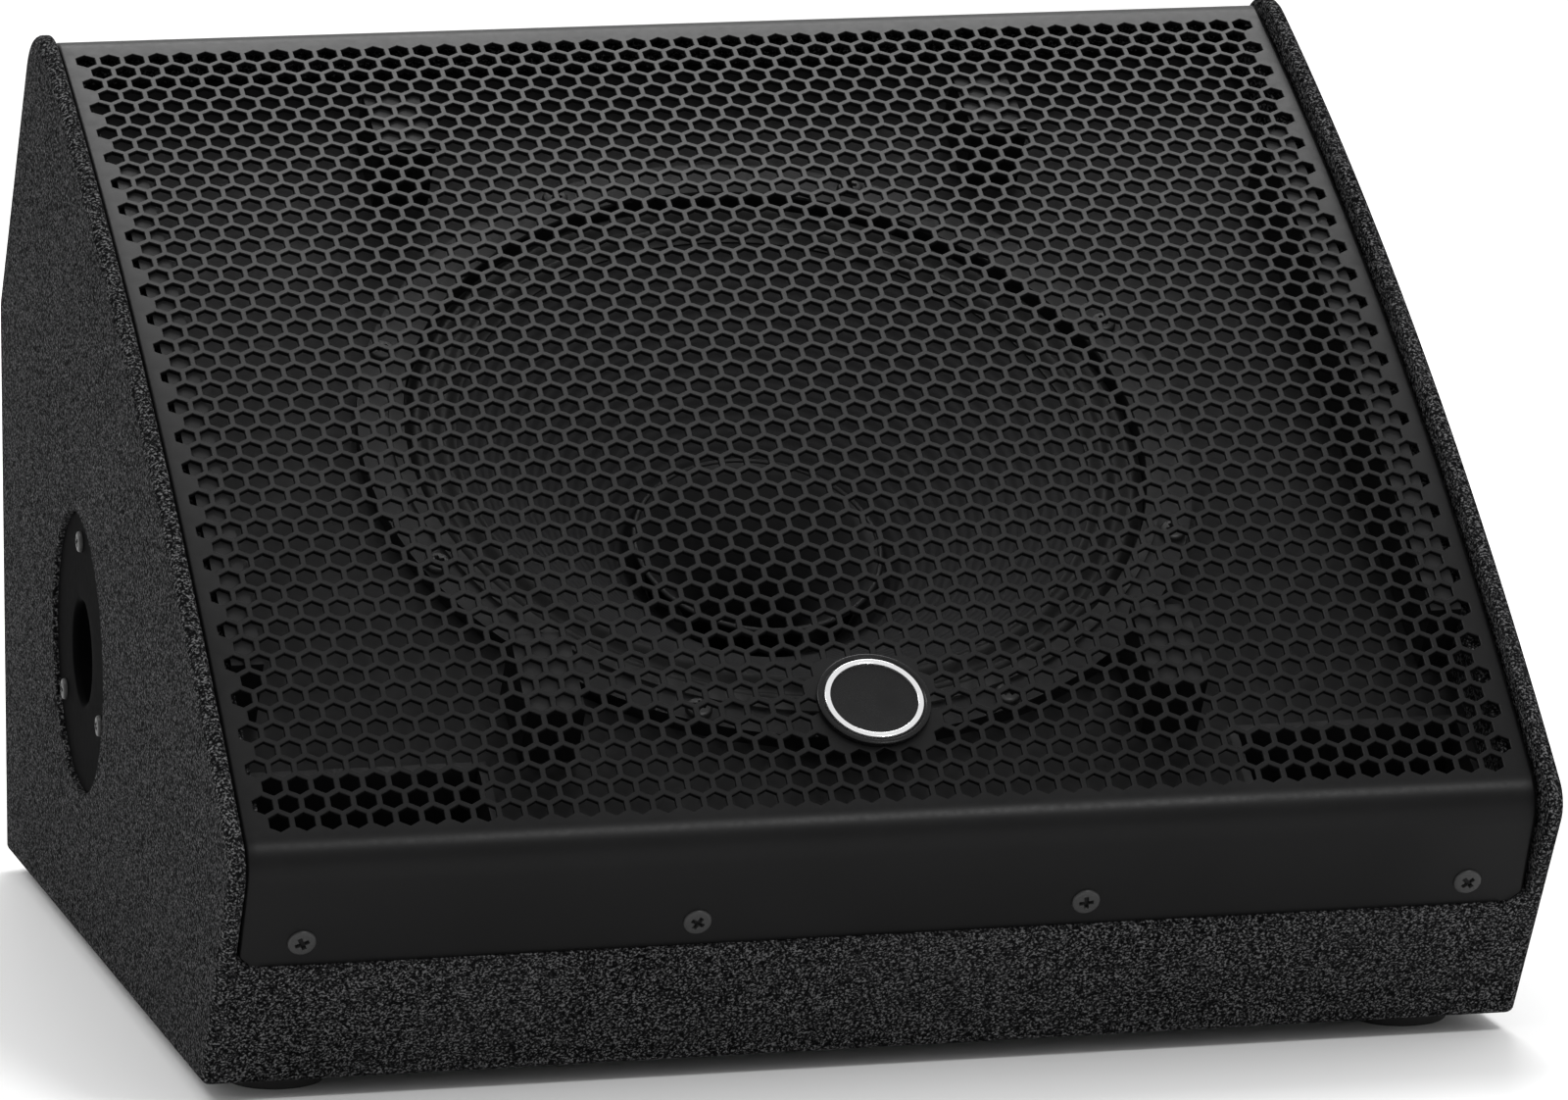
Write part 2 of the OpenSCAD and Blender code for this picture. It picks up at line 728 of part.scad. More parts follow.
pole_r = coil_r - air_gap;
module pole_piece() {
    color(zinc) on_woofer() difference() {
        union() {
            translate([0, 0, tweeter_z]) cylinder(r = magnet_r - 2, h = back_t);
            translate([0, 0, tweeter_z]) cylinder(r = pole_r, h = plate_z - tweeter_z);
        }
        translate([0, 0, tweeter_z - over]) cylinder(r = throat_r, h = reach / 2);
    }
}
// The horn flares from the throat to its mouth inside the voice coil
module horn() {
    steps = 12;
    t = 2;
    function flare(k) = [throat_r + (horn_r - throat_r - t) * pow(k, 1.7), plate_z - (horn_depth + plate_z) * k];
    inside = [for (i = [0 : steps]) flare(i / steps)];
    outside = [for (i = [steps : -1 : 0]) flare(i / steps) + [t, 0]];
    color(plastic) on_woofer() rotate_extrude() polygon(concat(inside, outside));
}

// ---- High-frequency driver ---------------------------------------------------------------------
tweeter_magnet_t = 22;
cover_t = 18;
dome_r = 25;
dome_ball = 32;
dome_z = tweeter_z - 11;
dome_gap = 0.8;
module phase_plug() {
    color(plastic) on_woofer() difference() {
        union() {
            tube(throat_r * 0.62, throat_r, dome_z, tweeter_z);
            translate([0, 0, dome_z]) cylinder(r1 = throat_r * 0.5, r2 = 2, h = -dome_z + tweeter_z);
            tube(throat_r, dome_r + 5, tweeter_z - 5, tweeter_z);
            for (i = [0 : 2]) rotate(i * 120) translate([0, -1, tweeter_z - 8]) cube([throat_r, 2, 6]);
        }
        translate([0, 0, dome_ball_z]) sphere(r = dome_ball + dome_gap);
    }
}
dome_ball_z = dome_z - dome_ball + 4;
module tweeter_diaphragm() {
    shell_t = 0.4;
    color(zinc) on_woofer() intersection() {
        difference() {
            translate([0, 0, dome_ball_z]) sphere(r = dome_ball);
            translate([0, 0, dome_ball_z]) sphere(r = dome_ball - shell_t);
        }
        translate([0, 0, dome_ball_z]) cylinder(r = dome_r, h = 2 * dome_ball);
    }
}
module tweeter_magnet() {
    color(cast_metal) on_woofer() tube(dome_r + 5 + slip, tweeter_r - 1, tweeter_z - tweeter_magnet_t, tweeter_z);
}
module tweeter_cover() {
    end_z = tweeter_z - tweeter_magnet_t;
    color(plastic) on_woofer() difference() {
        translate([0, 0, end_z - cover_t]) cylinder(r = tweeter_r, h = cover_t);
        translate([0, 0, end_z - cover_t + 3]) cylinder(r = tweeter_r - 3, h = cover_t);
    }
}

// ---- Amplifier panel ---------------------------------------------------------------------------
tray_w = amp_w - 2 * tray_flange;
tray_h = amp_h - 2 * tray_flange;
floor_z = -tray_depth;
row_top = 24;
row_low = -16;
socket_a_x = -tray_w / 2 + 26;
socket_pitch = 36;
switch_x = socket_a_x + 2 * socket_pitch;
light_x = switch_x + 24;
mains_x = light_x + 38;
mains_y = -34;
rocker_y = 20;
// The heat sink takes the width that the fittings leave
sink_edge = 8;
sink_w = tray_w / 2 - sink_edge - (mains_x + 34);
sink_x = tray_w / 2 - sink_edge - sink_w / 2;
sink_h = tray_h - 16;
module at_amp_screws() {
    edge = tray_flange / 2;
    for (x = [-1, -1 / 3, 1 / 3, 1], y = [-1, 1])
        translate([x * (amp_w / 2 - edge), y * (amp_h / 2 - edge), 0]) children();
}
module at_inputs() {
    for (i = [0, 1]) translate([socket_a_x + i * socket_pitch, row_top, floor_z]) children();
}
module at_link() {
    translate([switch_x, row_top, floor_z]) children();
}
module at_knobs() {
    for (i = [0, 1]) translate([socket_a_x + i * socket_pitch, row_low, floor_z]) children();
}
module at_switches() {
    for (y = [row_low + 7, row_low - 11]) translate([switch_x, y, floor_z]) children();
}
module at_lights() {
    for (i = [-1 : 1]) translate([light_x, row_top + i * 9, floor_z]) children();
}
module amp_panel() {
    color(cast_metal) on_rear() difference() {
        union() {
            translate([0, 0, -tray_t]) flat_block(amp_w, amp_h, tray_t);
            translate([0, 0, floor_z - tray_t]) flat_block(tray_w, tray_h, tray_depth);
        }
        translate([0, 0, floor_z]) flat_block(tray_w - 2 * tray_t, tray_h - 2 * tray_t, reach);
        translate([0, 0, -tray_t]) {
            at_inputs() socket_cut();
            at_link() socket_cut();
            at_knobs() cylinder(r = bush_r + slip, h = 3 * tray_t, center = false);
            at_switches() flat_block(slot_body_w + 2 * slip, slot_body_h + 2 * slip, 3 * tray_t);
            at_lights() cylinder(r = light_r + screw_slip, h = 3 * tray_t);
            translate([mains_x, mains_y, floor_z])
                flat_block(inlet_w + 2 * slip, inlet_h + 2 * slip, 3 * tray_t);
            translate([mains_x, rocker_y, floor_z])
                flat_block(rocker_w + 4 + 2 * slip, rocker_l + 4 + 2 * slip, 3 * tray_t);
            translate([sink_x, 0, floor_z]) flat_block(sink_w, sink_h, 3 * tray_t);
        }
        at_amp_screws() screw_hole(small_screw);
    }
}
module socket_cut() {
    cylinder(r = barrel_r + slip, h = 3 * tray_t);
    translate([0, latch_y, 0]) flat_block(latch_w + 1, latch_h + 1, 3 * tray_t);
}
module amp_panel_screws() {
    color(zinc) on_rear() at_amp_screws() screw(small_screw);
}
// Heat sink: its plate lies behind the tray's floor and its fins come through
module heat_sink() {
    fin_t = 2.4;
    base_t = 6;
    margin = 3;
    fins = round((sink_w - 2 * margin - fin_t) / 7.3) + 1;
    pitch = (sink_w - 2 * margin - fin_t) / (fins - 1);
    color(steel_black) on_rear() translate([sink_x, 0, floor_z - tray_t]) {
        translate([0, 0, -base_t]) flat_block(sink_w + 6, sink_h + 6, base_t);
        for (i = [0 : fins - 1])
            translate([-sink_w / 2 + margin + i * pitch, -sink_h / 2 + margin, -over])
                cube([fin_t, sink_h - 2 * margin, tray_t + tray_depth - 6 + over]);
    }
}

// ---- Circuit boards ----------------------------------------------------------------------------
board_t = 1.6;
amp_board_z = floor_z - tray_t - 30;
power_board_z = floor_z - tray_t - 36;
module amp_board() {
    left = -tray_w / 2 + 4;
    w = mains_x - 26 - left;
    h = tray_h - 20;
    x = left + w / 2;
    color(board_green) on_rear() translate([x, 0, amp_board_z]) {
        translate([0, 0, -board_t]) flat_block(w, h, board_t);
        for (sx = [-1, 1], sy = [-1, 1]) translate([sx * (w / 2 - 5), sy * (h / 2 - 5), -over])
            cylinder(r = 3, h = 30 + over);
        for (i = [0 : 3]) translate([-w / 2 + 22 + i * 24, -h / 4, -board_t - 24]) cylinder(r = 9, h = 25);
        translate([w / 6, h / 4, -board_t - 16]) flat_block(34, 20, 17);
    }
}
module power_board() {
    w = sink_w + 2;
    h = tray_h - 16;
    can_r = w / 8;
    color(board_green) on_rear() translate([sink_x, 0, power_board_z]) {
        translate([0, 0, -board_t]) flat_block(w, h, board_t);
        for (sx = [-1, 1], sy = [-1, 1]) translate([sx * (sink_w / 2 - 4), sy * (h / 2 - 5), -over])
            cylinder(r = 3, h = 30 + over);
        translate([0, h / 6, -board_t - 27]) flat_block(w / 2, 40, 28);
        for (sx = [-1, 1]) translate([sx * w / 5, -h / 3, -board_t - 21]) cylinder(r = can_r, h = 22);
    }
}

// ---- Sockets, switches and knobs ---------------------------------------------------------------
barrel_r = 11;
plug_r = 9.8;
socket_w = 26;
socket_h = 31;
socket_t = 2;
latch_w = 7;
latch_h = 3;
latch_y = 13.1;
latch_travel = 1.5;
latch_stem = 4;
inlet_w = 28;
inlet_h = 21;
slot_body_w = 17;
slot_body_h = 8;
slider_travel = 5;
bush_r = 4.4;
shaft_r = 3;
light_r = 1.5;
rocker_w = 15;
rocker_l = 24;
rocker_round = 11.6;

module socket_flange() {
    difference() {
        union() {
            rounded_block(socket_w, socket_h, 2, socket_t);
            translate([0, 0, -22]) cylinder(r = barrel_r, h = 22);
        }
        translate([0, latch_y, -over]) flat_block(latch_w + 0.8, latch_h + 0.8, socket_t + 2 * over);
    }
}
module input_socket(i) {
    color(plastic) on_rear() translate([socket_a_x + i * socket_pitch, row_top, floor_z]) difference() {
        socket_flange();
        translate([0, 0, -14]) difference() {
            cylinder(r = plug_r, h = 20);
            cylinder(r = plug_r - 2, h = 14);
        }
        for (a = [30, 150, 270]) rotate(a) translate([3.8, 0, -12]) cylinder(r = 1.3, h = 13);
    }
}
module input_socket_a() {
    input_socket(0);
}
module input_socket_b() {
    input_socket(1);
}
module socket_latch(i) {
    color(zinc) on_rear() translate([socket_a_x + i * socket_pitch, row_top + latch_y, floor_z])
        translate([0, 0, -latch_stem]) flat_block(latch_w, latch_h, latch_stem + socket_t + 2);
}
module socket_latch_a() {
    socket_latch(0);
}
module socket_latch_b() {
    socket_latch(1);
}
module link_socket() {
    color(plastic) on_rear() at_link() difference() {
        union() {
            rounded_block(socket_w, socket_h, 2, socket_t);
            translate([0, 0, -22]) cylinder(r = barrel_r, h = 22);
        }
        translate([0, 0, -17]) difference() {
            cylinder(r = plug_r - 0.3, h = 22);
            for (a = [90, 210, 330]) rotate(a) translate([3.8, 0, -over]) cylinder(r = 1.2, h = 11);
        }
    }
}
module mains_inlet() {
    cup = 18;
    color(plastic) on_rear() translate([mains_x, mains_y, floor_z]) difference() {
        union() {
            rounded_block(inlet_w + 6, inlet_h + 6, 2, socket_t);
            translate([0, 0, -24]) flat_block(inlet_w, inlet_h, 24);
        }
        translate([0, 0, -cup]) difference() {
            flat_block(inlet_w - 4, inlet_h - 4, cup + 2 * socket_t);
            for (x = [-7, 0, 7]) translate([x, x == 0 ? 3 : -2, -over]) flat_block(2, 4, 11);
        }
    }
}
module switch_frames() {
    color(plastic) on_rear() {
        translate([mains_x, rocker_y, floor_z]) difference() {
            union() {
                flat_block(rocker_w + 7, rocker_l + 7, socket_t);
                translate([0, 0, -20]) flat_block(rocker_w + 4, rocker_l + 4, 20);
            }
            translate([0, 0, -18]) flat_block(rocker_w + 1, rocker_l + 1, 24);
        }
        at_switches() difference() {
            translate([0, 0, -8]) flat_block(slot_body_w, slot_body_h, 8);
            translate([0, 0, -6]) flat_block(slider_travel + 6.6, 4.6, 7);
        }
        translate([mains_x - rocker_w / 2 - 2, rocker_y, floor_z - 8]) rotate([0, 90, 0])
            cylinder(r = rocker_pin_r, h = rocker_w + 4);
    }
}
rocker_pin_r = 2;
rocker_pivot_z = -8;
module power_rocker() {
    lean = rocker_turn / 2;
    color([0.15, 0.15, 0.16]) on_rear()
        translate([mains_x, rocker_y, floor_z + rocker_pivot_z]) rotate([lean, 0, 0])
            rotate([90, 0, 90]) translate([0, 0, -rocker_w / 2]) difference() {
                intersection() {
                    cylinder(r = rocker_round, h = rocker_w);
                    linear_extrude(rocker_w) polygon([[-rocker_round, -6], [rocker_round, -6],
                        [rocker_round, 11.3], [0, 9.2], [-rocker_round, 11.3]]);
                }
                translate([0, 0, -over]) cylinder(r = rocker_pin_r + screw_slip, h = rocker_w + 2 * over);
            }
}
module slider(i) {
    color([0.75, 0.75, 0.76]) on_rear()
        translate([switch_x - slider_travel / 2, row_low + 7 - 18 * i, floor_z - 5]) flat_block(5.6, 4, 8);
}
module contour_slider() {
    slider(0);
}
module filter_slider() {
    slider(1);
}
module level_pots() {
    color(zinc) on_rear() at_knobs() difference() {
        union() {
            translate([0, 0, -tray_t - 10]) cylinder(r = 8.5, h = 10);
            translate([0, 0, -tray_t - over]) cylinder(r = bush_r, h = tray_t + over + 2);
        }
        translate([0, 0, -tray_t - 9]) cylinder(r = shaft_r + screw_slip, h = 20);
    }
}
module level_knob(i) {
    color(plastic) on_rear() translate([socket_a_x + i * socket_pitch, row_low, floor_z]) {
        translate([0, 0, -tray_t - 8.5]) cylinder(r = shaft_r, h = tray_t + 8.5 + 3);
        translate([0, 0, 2.6]) difference() {
            cylinder(r = knob_r, h = knob_h);
            translate([-0.6, knob_r * 0.35, knob_h - 0.8]) cube([1.2, knob_r, 2]);
        }
    }
}
module level_knob_a() {
    level_knob(0);
}
module level_knob_b() {
    level_knob(1);
}
module indicator_lights() {
    color([0.2, 0.75, 0.3]) on_rear() at_lights() {
        translate([0, 0, -tray_t - 3]) cylinder(r = 2.2, h = 3);
        translate([0, 0, -tray_t - over]) cylinder(r = light_r, h = tray_t + over + 0.8);
    }
}

// ---- Leads -------------------------------------------------------------------------------------
lead_r = 1.6;
lead_sides = 8;
lead_rings = 14;
function bezier(p, k) = p[0] * pow(1 - k, 3) + p[1] * 3 * k * pow(1 - k, 2) + p[2] * 3 * k * k * (1 - k)
    + p[3] * pow(k, 3);
// A point of the driver's frame in the cabinet's frame
function from_driver(x, y, z) = let (p = from_front([y - woofer_down, z + baffle_z])) [x, p[0], p[1]];
function board_point(x, y) = [-x, rear_y + amp_board_z - board_t, foot_h + amp_z + y];
module lead(path) {
    ring = [for (i = [0 : lead_rings]) bezier(path, i / lead_rings)];
    function along(i) = let (d = ring[min(i + 1, lead_rings)] - ring[max(i - 1, 0)]) d / norm(d);
    points = [for (i = [0 : lead_rings]) let (t = along(i), u = cross(t, [1, 0, 0]) / norm(cross(t, [1, 0, 0])),
        v = cross(t, u)) for (j = [0 : lead_sides - 1]) let (a = 360 * j / lead_sides)
        ring[i] + lead_r * (cos(a) * u + sin(a) * v)];
    walls = [for (i = [0 : lead_rings - 1], j = [0 : lead_sides - 1]) let (k = (j + 1) % lead_sides)
        [i * lead_sides + j, i * lead_sides + k, (i + 1) * lead_sides + k, (i + 1) * lead_sides + j]];
    first = [for (j = [lead_sides - 1 : -1 : 0]) j];
    last = [for (j = [0 : lead_sides - 1]) lead_rings * lead_sides + j];
    polyhedron(points, concat([first], walls, [last]), convexity = 6);
}
module driver_leads() {
    tag_z = -34;
    woofer_tag = from_driver(12, basket_wall_r(tag_z) - 1.5, tag_z);
    tweeter_tag = from_driver(0, tweeter_r - 2, tweeter_z - 6);
    far = board_point(-90, 20);
    near = board_point(-25, 0);
    color([0.6, 0.1, 0.1]) {
        lead([far, far + [0, -40, 10], woofer_tag + [0, 40, -10], woofer_tag]);
        lead([near, near + [0, -20, -6], tweeter_tag + [0, 20, 14], tweeter_tag]);
    }
}

side_panel_left();
side_panel_right();
bottom_panel();
rear_panel();
upper_rear_panel();
lower_front_panel();
baffle();
port_duct_left();
port_duct_right();
damping_lining();
feet();
foot_screws();
grille();
grille_screws();
grille_rails();
grille_spacers();
badge_plate();
badge_ring();
pole_socket();
pole_socket_screws();
handle_dish();
handle_grip();
handle_screws();
woofer_basket();
woofer_gasket();
woofer_screws();
woofer_cone();
woofer_surround();
woofer_spider();
coil_former();
voice_coil();
woofer_top_plate();
woofer_magnet();
pole_piece();
horn();
phase_plug();
tweeter_diaphragm();
tweeter_magnet();
tweeter_cover();
amp_panel();
amp_panel_screws();
heat_sink();
amp_board();
power_board();
input_socket_a();
input_socket_b();
socket_latch_a();
socket_latch_b();
link_socket();
mains_inlet();
switch_frames();
power_rocker();
contour_slider();
filter_slider();
level_pots();
level_knob_a();
level_knob_b();
indicator_lights();
driver_leads();
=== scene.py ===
"""Looks of a stage monitor wedge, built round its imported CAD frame.

Lengths are in metres in the frame's own axes: the grille faces -Y and +Z is up. Sizes are given in
millimetres times MM, as the CAD source gives them.
"""

import logging
import math
from collections.abc import Sequence
from dataclasses import dataclass, field
from enum import Enum

import bmesh
import bpy
import numpy as np
from mathutils import Matrix, Vector


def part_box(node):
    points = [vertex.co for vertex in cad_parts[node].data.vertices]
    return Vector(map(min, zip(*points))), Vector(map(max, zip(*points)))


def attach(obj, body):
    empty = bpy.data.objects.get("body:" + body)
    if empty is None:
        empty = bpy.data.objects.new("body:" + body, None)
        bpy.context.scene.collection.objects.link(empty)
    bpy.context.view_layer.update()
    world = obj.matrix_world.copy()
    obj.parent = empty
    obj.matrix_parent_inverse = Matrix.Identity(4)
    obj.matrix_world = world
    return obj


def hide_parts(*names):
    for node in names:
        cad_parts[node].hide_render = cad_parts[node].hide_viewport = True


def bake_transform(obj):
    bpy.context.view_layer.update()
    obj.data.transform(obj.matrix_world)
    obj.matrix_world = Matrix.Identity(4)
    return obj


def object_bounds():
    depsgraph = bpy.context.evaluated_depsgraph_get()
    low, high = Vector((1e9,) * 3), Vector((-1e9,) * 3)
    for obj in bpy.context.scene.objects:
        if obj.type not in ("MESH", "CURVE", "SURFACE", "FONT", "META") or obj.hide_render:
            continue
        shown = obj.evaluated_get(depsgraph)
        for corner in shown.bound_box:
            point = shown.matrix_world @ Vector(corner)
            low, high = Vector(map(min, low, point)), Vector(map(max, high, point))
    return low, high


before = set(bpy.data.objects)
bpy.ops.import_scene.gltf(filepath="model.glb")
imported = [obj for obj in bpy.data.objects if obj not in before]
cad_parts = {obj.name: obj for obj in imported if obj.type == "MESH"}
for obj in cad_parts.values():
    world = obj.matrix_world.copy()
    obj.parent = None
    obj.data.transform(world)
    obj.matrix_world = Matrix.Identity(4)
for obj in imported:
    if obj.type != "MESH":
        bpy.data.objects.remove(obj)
CAD_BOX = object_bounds()

log = logging.getLogger("wedge")
MM = 0.001
TURN = 2 * math.pi
SMOOTH_ANGLE = math.radians(32)
Triple = tuple[float, float, float]
Colour = Triple
Profile = Sequence[Sequence[float]]
Socket = bpy.types.NodeSocket


# ---- Places ------------------------------------------------------------------------------------


def swung(a: Sequence[float], b: Sequence[float], angle: float) -> tuple[tuple, tuple]:
    """Two axes turned by angle in their own plane: each is its cosine's share plus the other's sine's.

    Args:
        a: the first axis.
        b: the second axis.
        angle: how far both turn.

    Returns:
        The two turned axes.
    """
    c, s = math.cos(angle), math.sin(angle)
    turned = np.array([[c, s], [-s, c]]) @ np.array([a, b])
    return tuple(turned[0]), tuple(turned[1])


@dataclass(frozen=True)
class Place:
    """A local frame: an origin and three unit axes in the object's frame."""

    origin: Triple
    x: Triple
    y: Triple
    z: Triple

    def out(self, points: np.ndarray) -> np.ndarray:
        """Carries local points into the object's frame: the origin plus each axis times its share."""
        return np.asarray(points) @ np.array([self.x, self.y, self.z]) + np.array(self.origin)

    def moved(self, x: float = 0.0, y: float = 0.0, z: float = 0.0) -> "Place":
        """Returns the same frame with its origin moved by local steps x, y and z."""
        return Place(tuple(self.out(np.array([x, y, z]))), self.x, self.y, self.z)

    def spun(self, angle: float) -> "Place":
        """Returns the same frame turned by angle about its own z axis."""
        return Place(self.origin, *swung(self.x, self.y, angle), self.z)

    def tipped(self, angle: float) -> "Place":
        """Returns the same frame turned by angle about its own x axis."""
        return Place(self.origin, self.x, *swung(self.y, self.z, angle))


@dataclass(frozen=True)
class Wedge:
    """The cabinet's driving sizes and its side view, which every other piece is placed from."""

    width: float = 458 * MM
    face_len: float = 432 * MM
    tilt: float = math.radians(33)
    knee_h: float = 85 * MM
    rear_h: float = 204 * MM
    bow_r: float = 1390 * MM
    nose_r: float = 28 * MM
    knee_r: float = 12 * MM
    shoulder_r: float = 12 * MM
    base_r: float = 3 * MM
    wall: float = 15 * MM
    foot_h: float = 7 * MM
    baffle_setback: float = 34 * MM
    grille_inset: float = 5.5 * MM
    plate_sunk: float = 1.8 * MM
    driver_down: float = 5.6 * MM

    @property
    def half(self) -> float:
        """Half of the front face's length."""
        return self.face_len / 2

    @property
    def bow_drop(self) -> float:
        """Distance from the bow's centre to the front face's chord."""
        return math.sqrt(self.bow_r**2 - self.half**2)

    @property
    def rear_y(self) -> float:
        """Place of the rear face."""
        return CAD_BOX[1].y

    @property
    def front(self) -> Place:
        """Frame of the front face: y runs up the slope and z points out of the face.

        Returns:
            The frame.
        """
        top_h = self.knee_h + self.face_len * math.sin(self.tilt)
        run = (top_h - self.rear_h) * math.tan(self.tilt)
        depth = run + self.half * math.cos(self.tilt)
        height = self.foot_h + self.knee_h + self.half * math.sin(self.tilt)
        c, s = math.cos(self.tilt), math.sin(self.tilt)
        return Place((0, self.rear_y - depth, height), (1, 0, 0), (0, c, s), (0, -s, c))

    @property
    def baffle_z(self) -> float:
        """Height of the baffle's face in the front frame."""
        return self.bow_r - self.bow_drop - self.grille_inset - self.baffle_setback

    @property
    def driver(self) -> Place:
        """Frame of the driver: z runs along its axis, out of the baffle's face."""
        return self.front.moved(y=-self.driver_down, z=self.baffle_z)

    @property
    def rear(self) -> Place:
        """Frame of the amplifier panel: x runs to the left seen from behind, z points out."""
        low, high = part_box("amp_panel")
        middle = (low.z + high.z) / 2
        return Place((0, self.rear_y - self.plate_sunk, middle), (-1, 0, 0), (0, 0, 1), (0, 1, 0))

    def side(self, node: str, sign: int) -> Place:
        """Frame of a plate in a side panel.

        Args:
            node: the CAD node whose middle gives the place.
            sign: -1 for the left panel and 1 for the right one.

        Returns:
            The frame: x runs level, y up and z out of the panel.
        """
        low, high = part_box(node)
        at = (sign * (self.width / 2 - self.plate_sunk), (low.y + high.y) / 2, (low.z + high.z) / 2)
        return Place(at, (0, sign, 0), (0, 0, 1), (sign, 0, 0))

    def corner(self, r: float, bow: float, side: float, steps: int = 14) -> np.ndarray:
        """A rounded corner between the bow and the face square to its chord.

        The arc's centre lies r inside both, and its angle runs from the bow's normal there to the
        square face's.

        Args:
            r: the corner's radius.
            bow: the bow's radius.
            side: distance of the square face from the middle.
            steps: number of steps along the arc.

        Returns:
            Points (y, z) in the front frame, from the bow to the square face.
        """
        centre = np.array([side - r, math.sqrt((bow - r) ** 2 - (side - r) ** 2) - self.bow_drop])
        start = math.atan2(centre[0], centre[1] + self.bow_drop)
        angle = np.linspace(start, math.pi / 2, steps + 1)[:, None]
        return centre + r * np.hstack([np.sin(angle), np.cos(angle)])

    def outline(self, step: float = 5 * MM) -> np.ndarray:
        """The side view's closed outline, with no two points further apart than step.

        It runs from the upper corner over the bow to the knee, the toe, the heel and the shoulder.
        Each sharp corner is an arc tangent to its two sides.

        Args:
            step: the longest gap between points.

        Returns:
            Points (Y, Z) in the object's frame.
        """
        up = self.corner(self.nose_r, self.bow_r, self.half)[::-1]
        low = self.corner(self.knee_r, self.bow_r, self.half) * [-1, 1]
        y = np.linspace(up[-1, 0], low[0, 0], 90)[1:-1]
        bow = np.stack([y, np.sqrt(self.bow_r**2 - y**2) - self.bow_drop], 1)
        front = np.vstack([up, bow, low])
        local = np.hstack([np.zeros((len(front), 1)), front])
        top = self.front.out(local)[:, 1:]
        toe_y = top[-1, 0] + (top[-1, 1] - self.foot_h) * math.tan(self.tilt)
        toe, heel = np.array([toe_y, self.foot_h]), np.array([self.rear_y, self.foot_h])
        shoulder = np.array([self.rear_y, self.foot_h + self.rear_h])
        corners = [
            tangent_arc(top[-1], toe, heel, self.base_r),
            tangent_arc(toe, heel, shoulder, self.base_r),
            tangent_arc(heel, shoulder, top[0], self.shoulder_r),
        ]
        return subdivided(np.vstack([top, *corners]), step)


def tangent_arc(a: np.ndarray, p: np.ndarray, b: np.ndarray, r: float, steps: int = 8) -> np.ndarray:
    """The arc of radius r that rounds the corner at p between the directions to a and b.

    Args:
        a: point before the corner.
        p: the sharp corner.
        b: point after the corner.
        r: the arc's radius.
        steps: number of steps along the arc.

    Returns:
        Points from the side towards a to the side towards b.
    """
    u, v = (a - p) / np.linalg.norm(a - p), (b - p) / np.linalg.norm(b - p)
    turn = math.acos(float(u @ v)) / 2
    centre = p + (u + v) / np.linalg.norm(u + v) * r / math.sin(turn)
    start, end = p + u * r / math.tan(turn) - centre, p + v * r / math.tan(turn) - centre
    share = np.linspace(0, 1, steps + 1)[:, None]
    chord = start * (1 - share) + end * share
    return centre + r * chord / np.linalg.norm(chord, axis=1, keepdims=True)


def subdivided(ring: np.ndarray, step: float) -> np.ndarray:
    """Adds points along a closed ring's long edges, so that none is longer than step.

    Args:
        ring: the closed ring's points.
        step: the longest edge allowed.

    Returns:
        The points, with the new ones among them.
    """
    nxt = np.roll(ring, -1, axis=0)
    count = np.maximum(1, np.ceil(np.linalg.norm(nxt - ring, axis=1) / step)).astype(int)
    parts = [a + (b - a) * np.arange(n)[:, None] / n for a, b, n in zip(ring, nxt, count)]
    return np.vstack(parts)


def ring_normals(ring: np.ndarray) -> np.ndarray:
    """Outward unit normals of a closed ring: each point's neighbours' chord, turned a quarter.

    Args:
        ring: the closed ring's points.

    Returns:
        One unit normal for each point.
    """
    chord = np.roll(ring, -1, axis=0) - np.roll(ring, 1, axis=0)
    normal = np.stack([chord[:, 1], -chord[:, 0]], 1)
    normal /= np.linalg.norm(normal, axis=1, keepdims=True)
    outward = np.sign(((ring - ring.mean(0)) * normal).sum(1).mean())
    return normal * outward


# ---- Meshes ------------------------------------------------------------------------------------


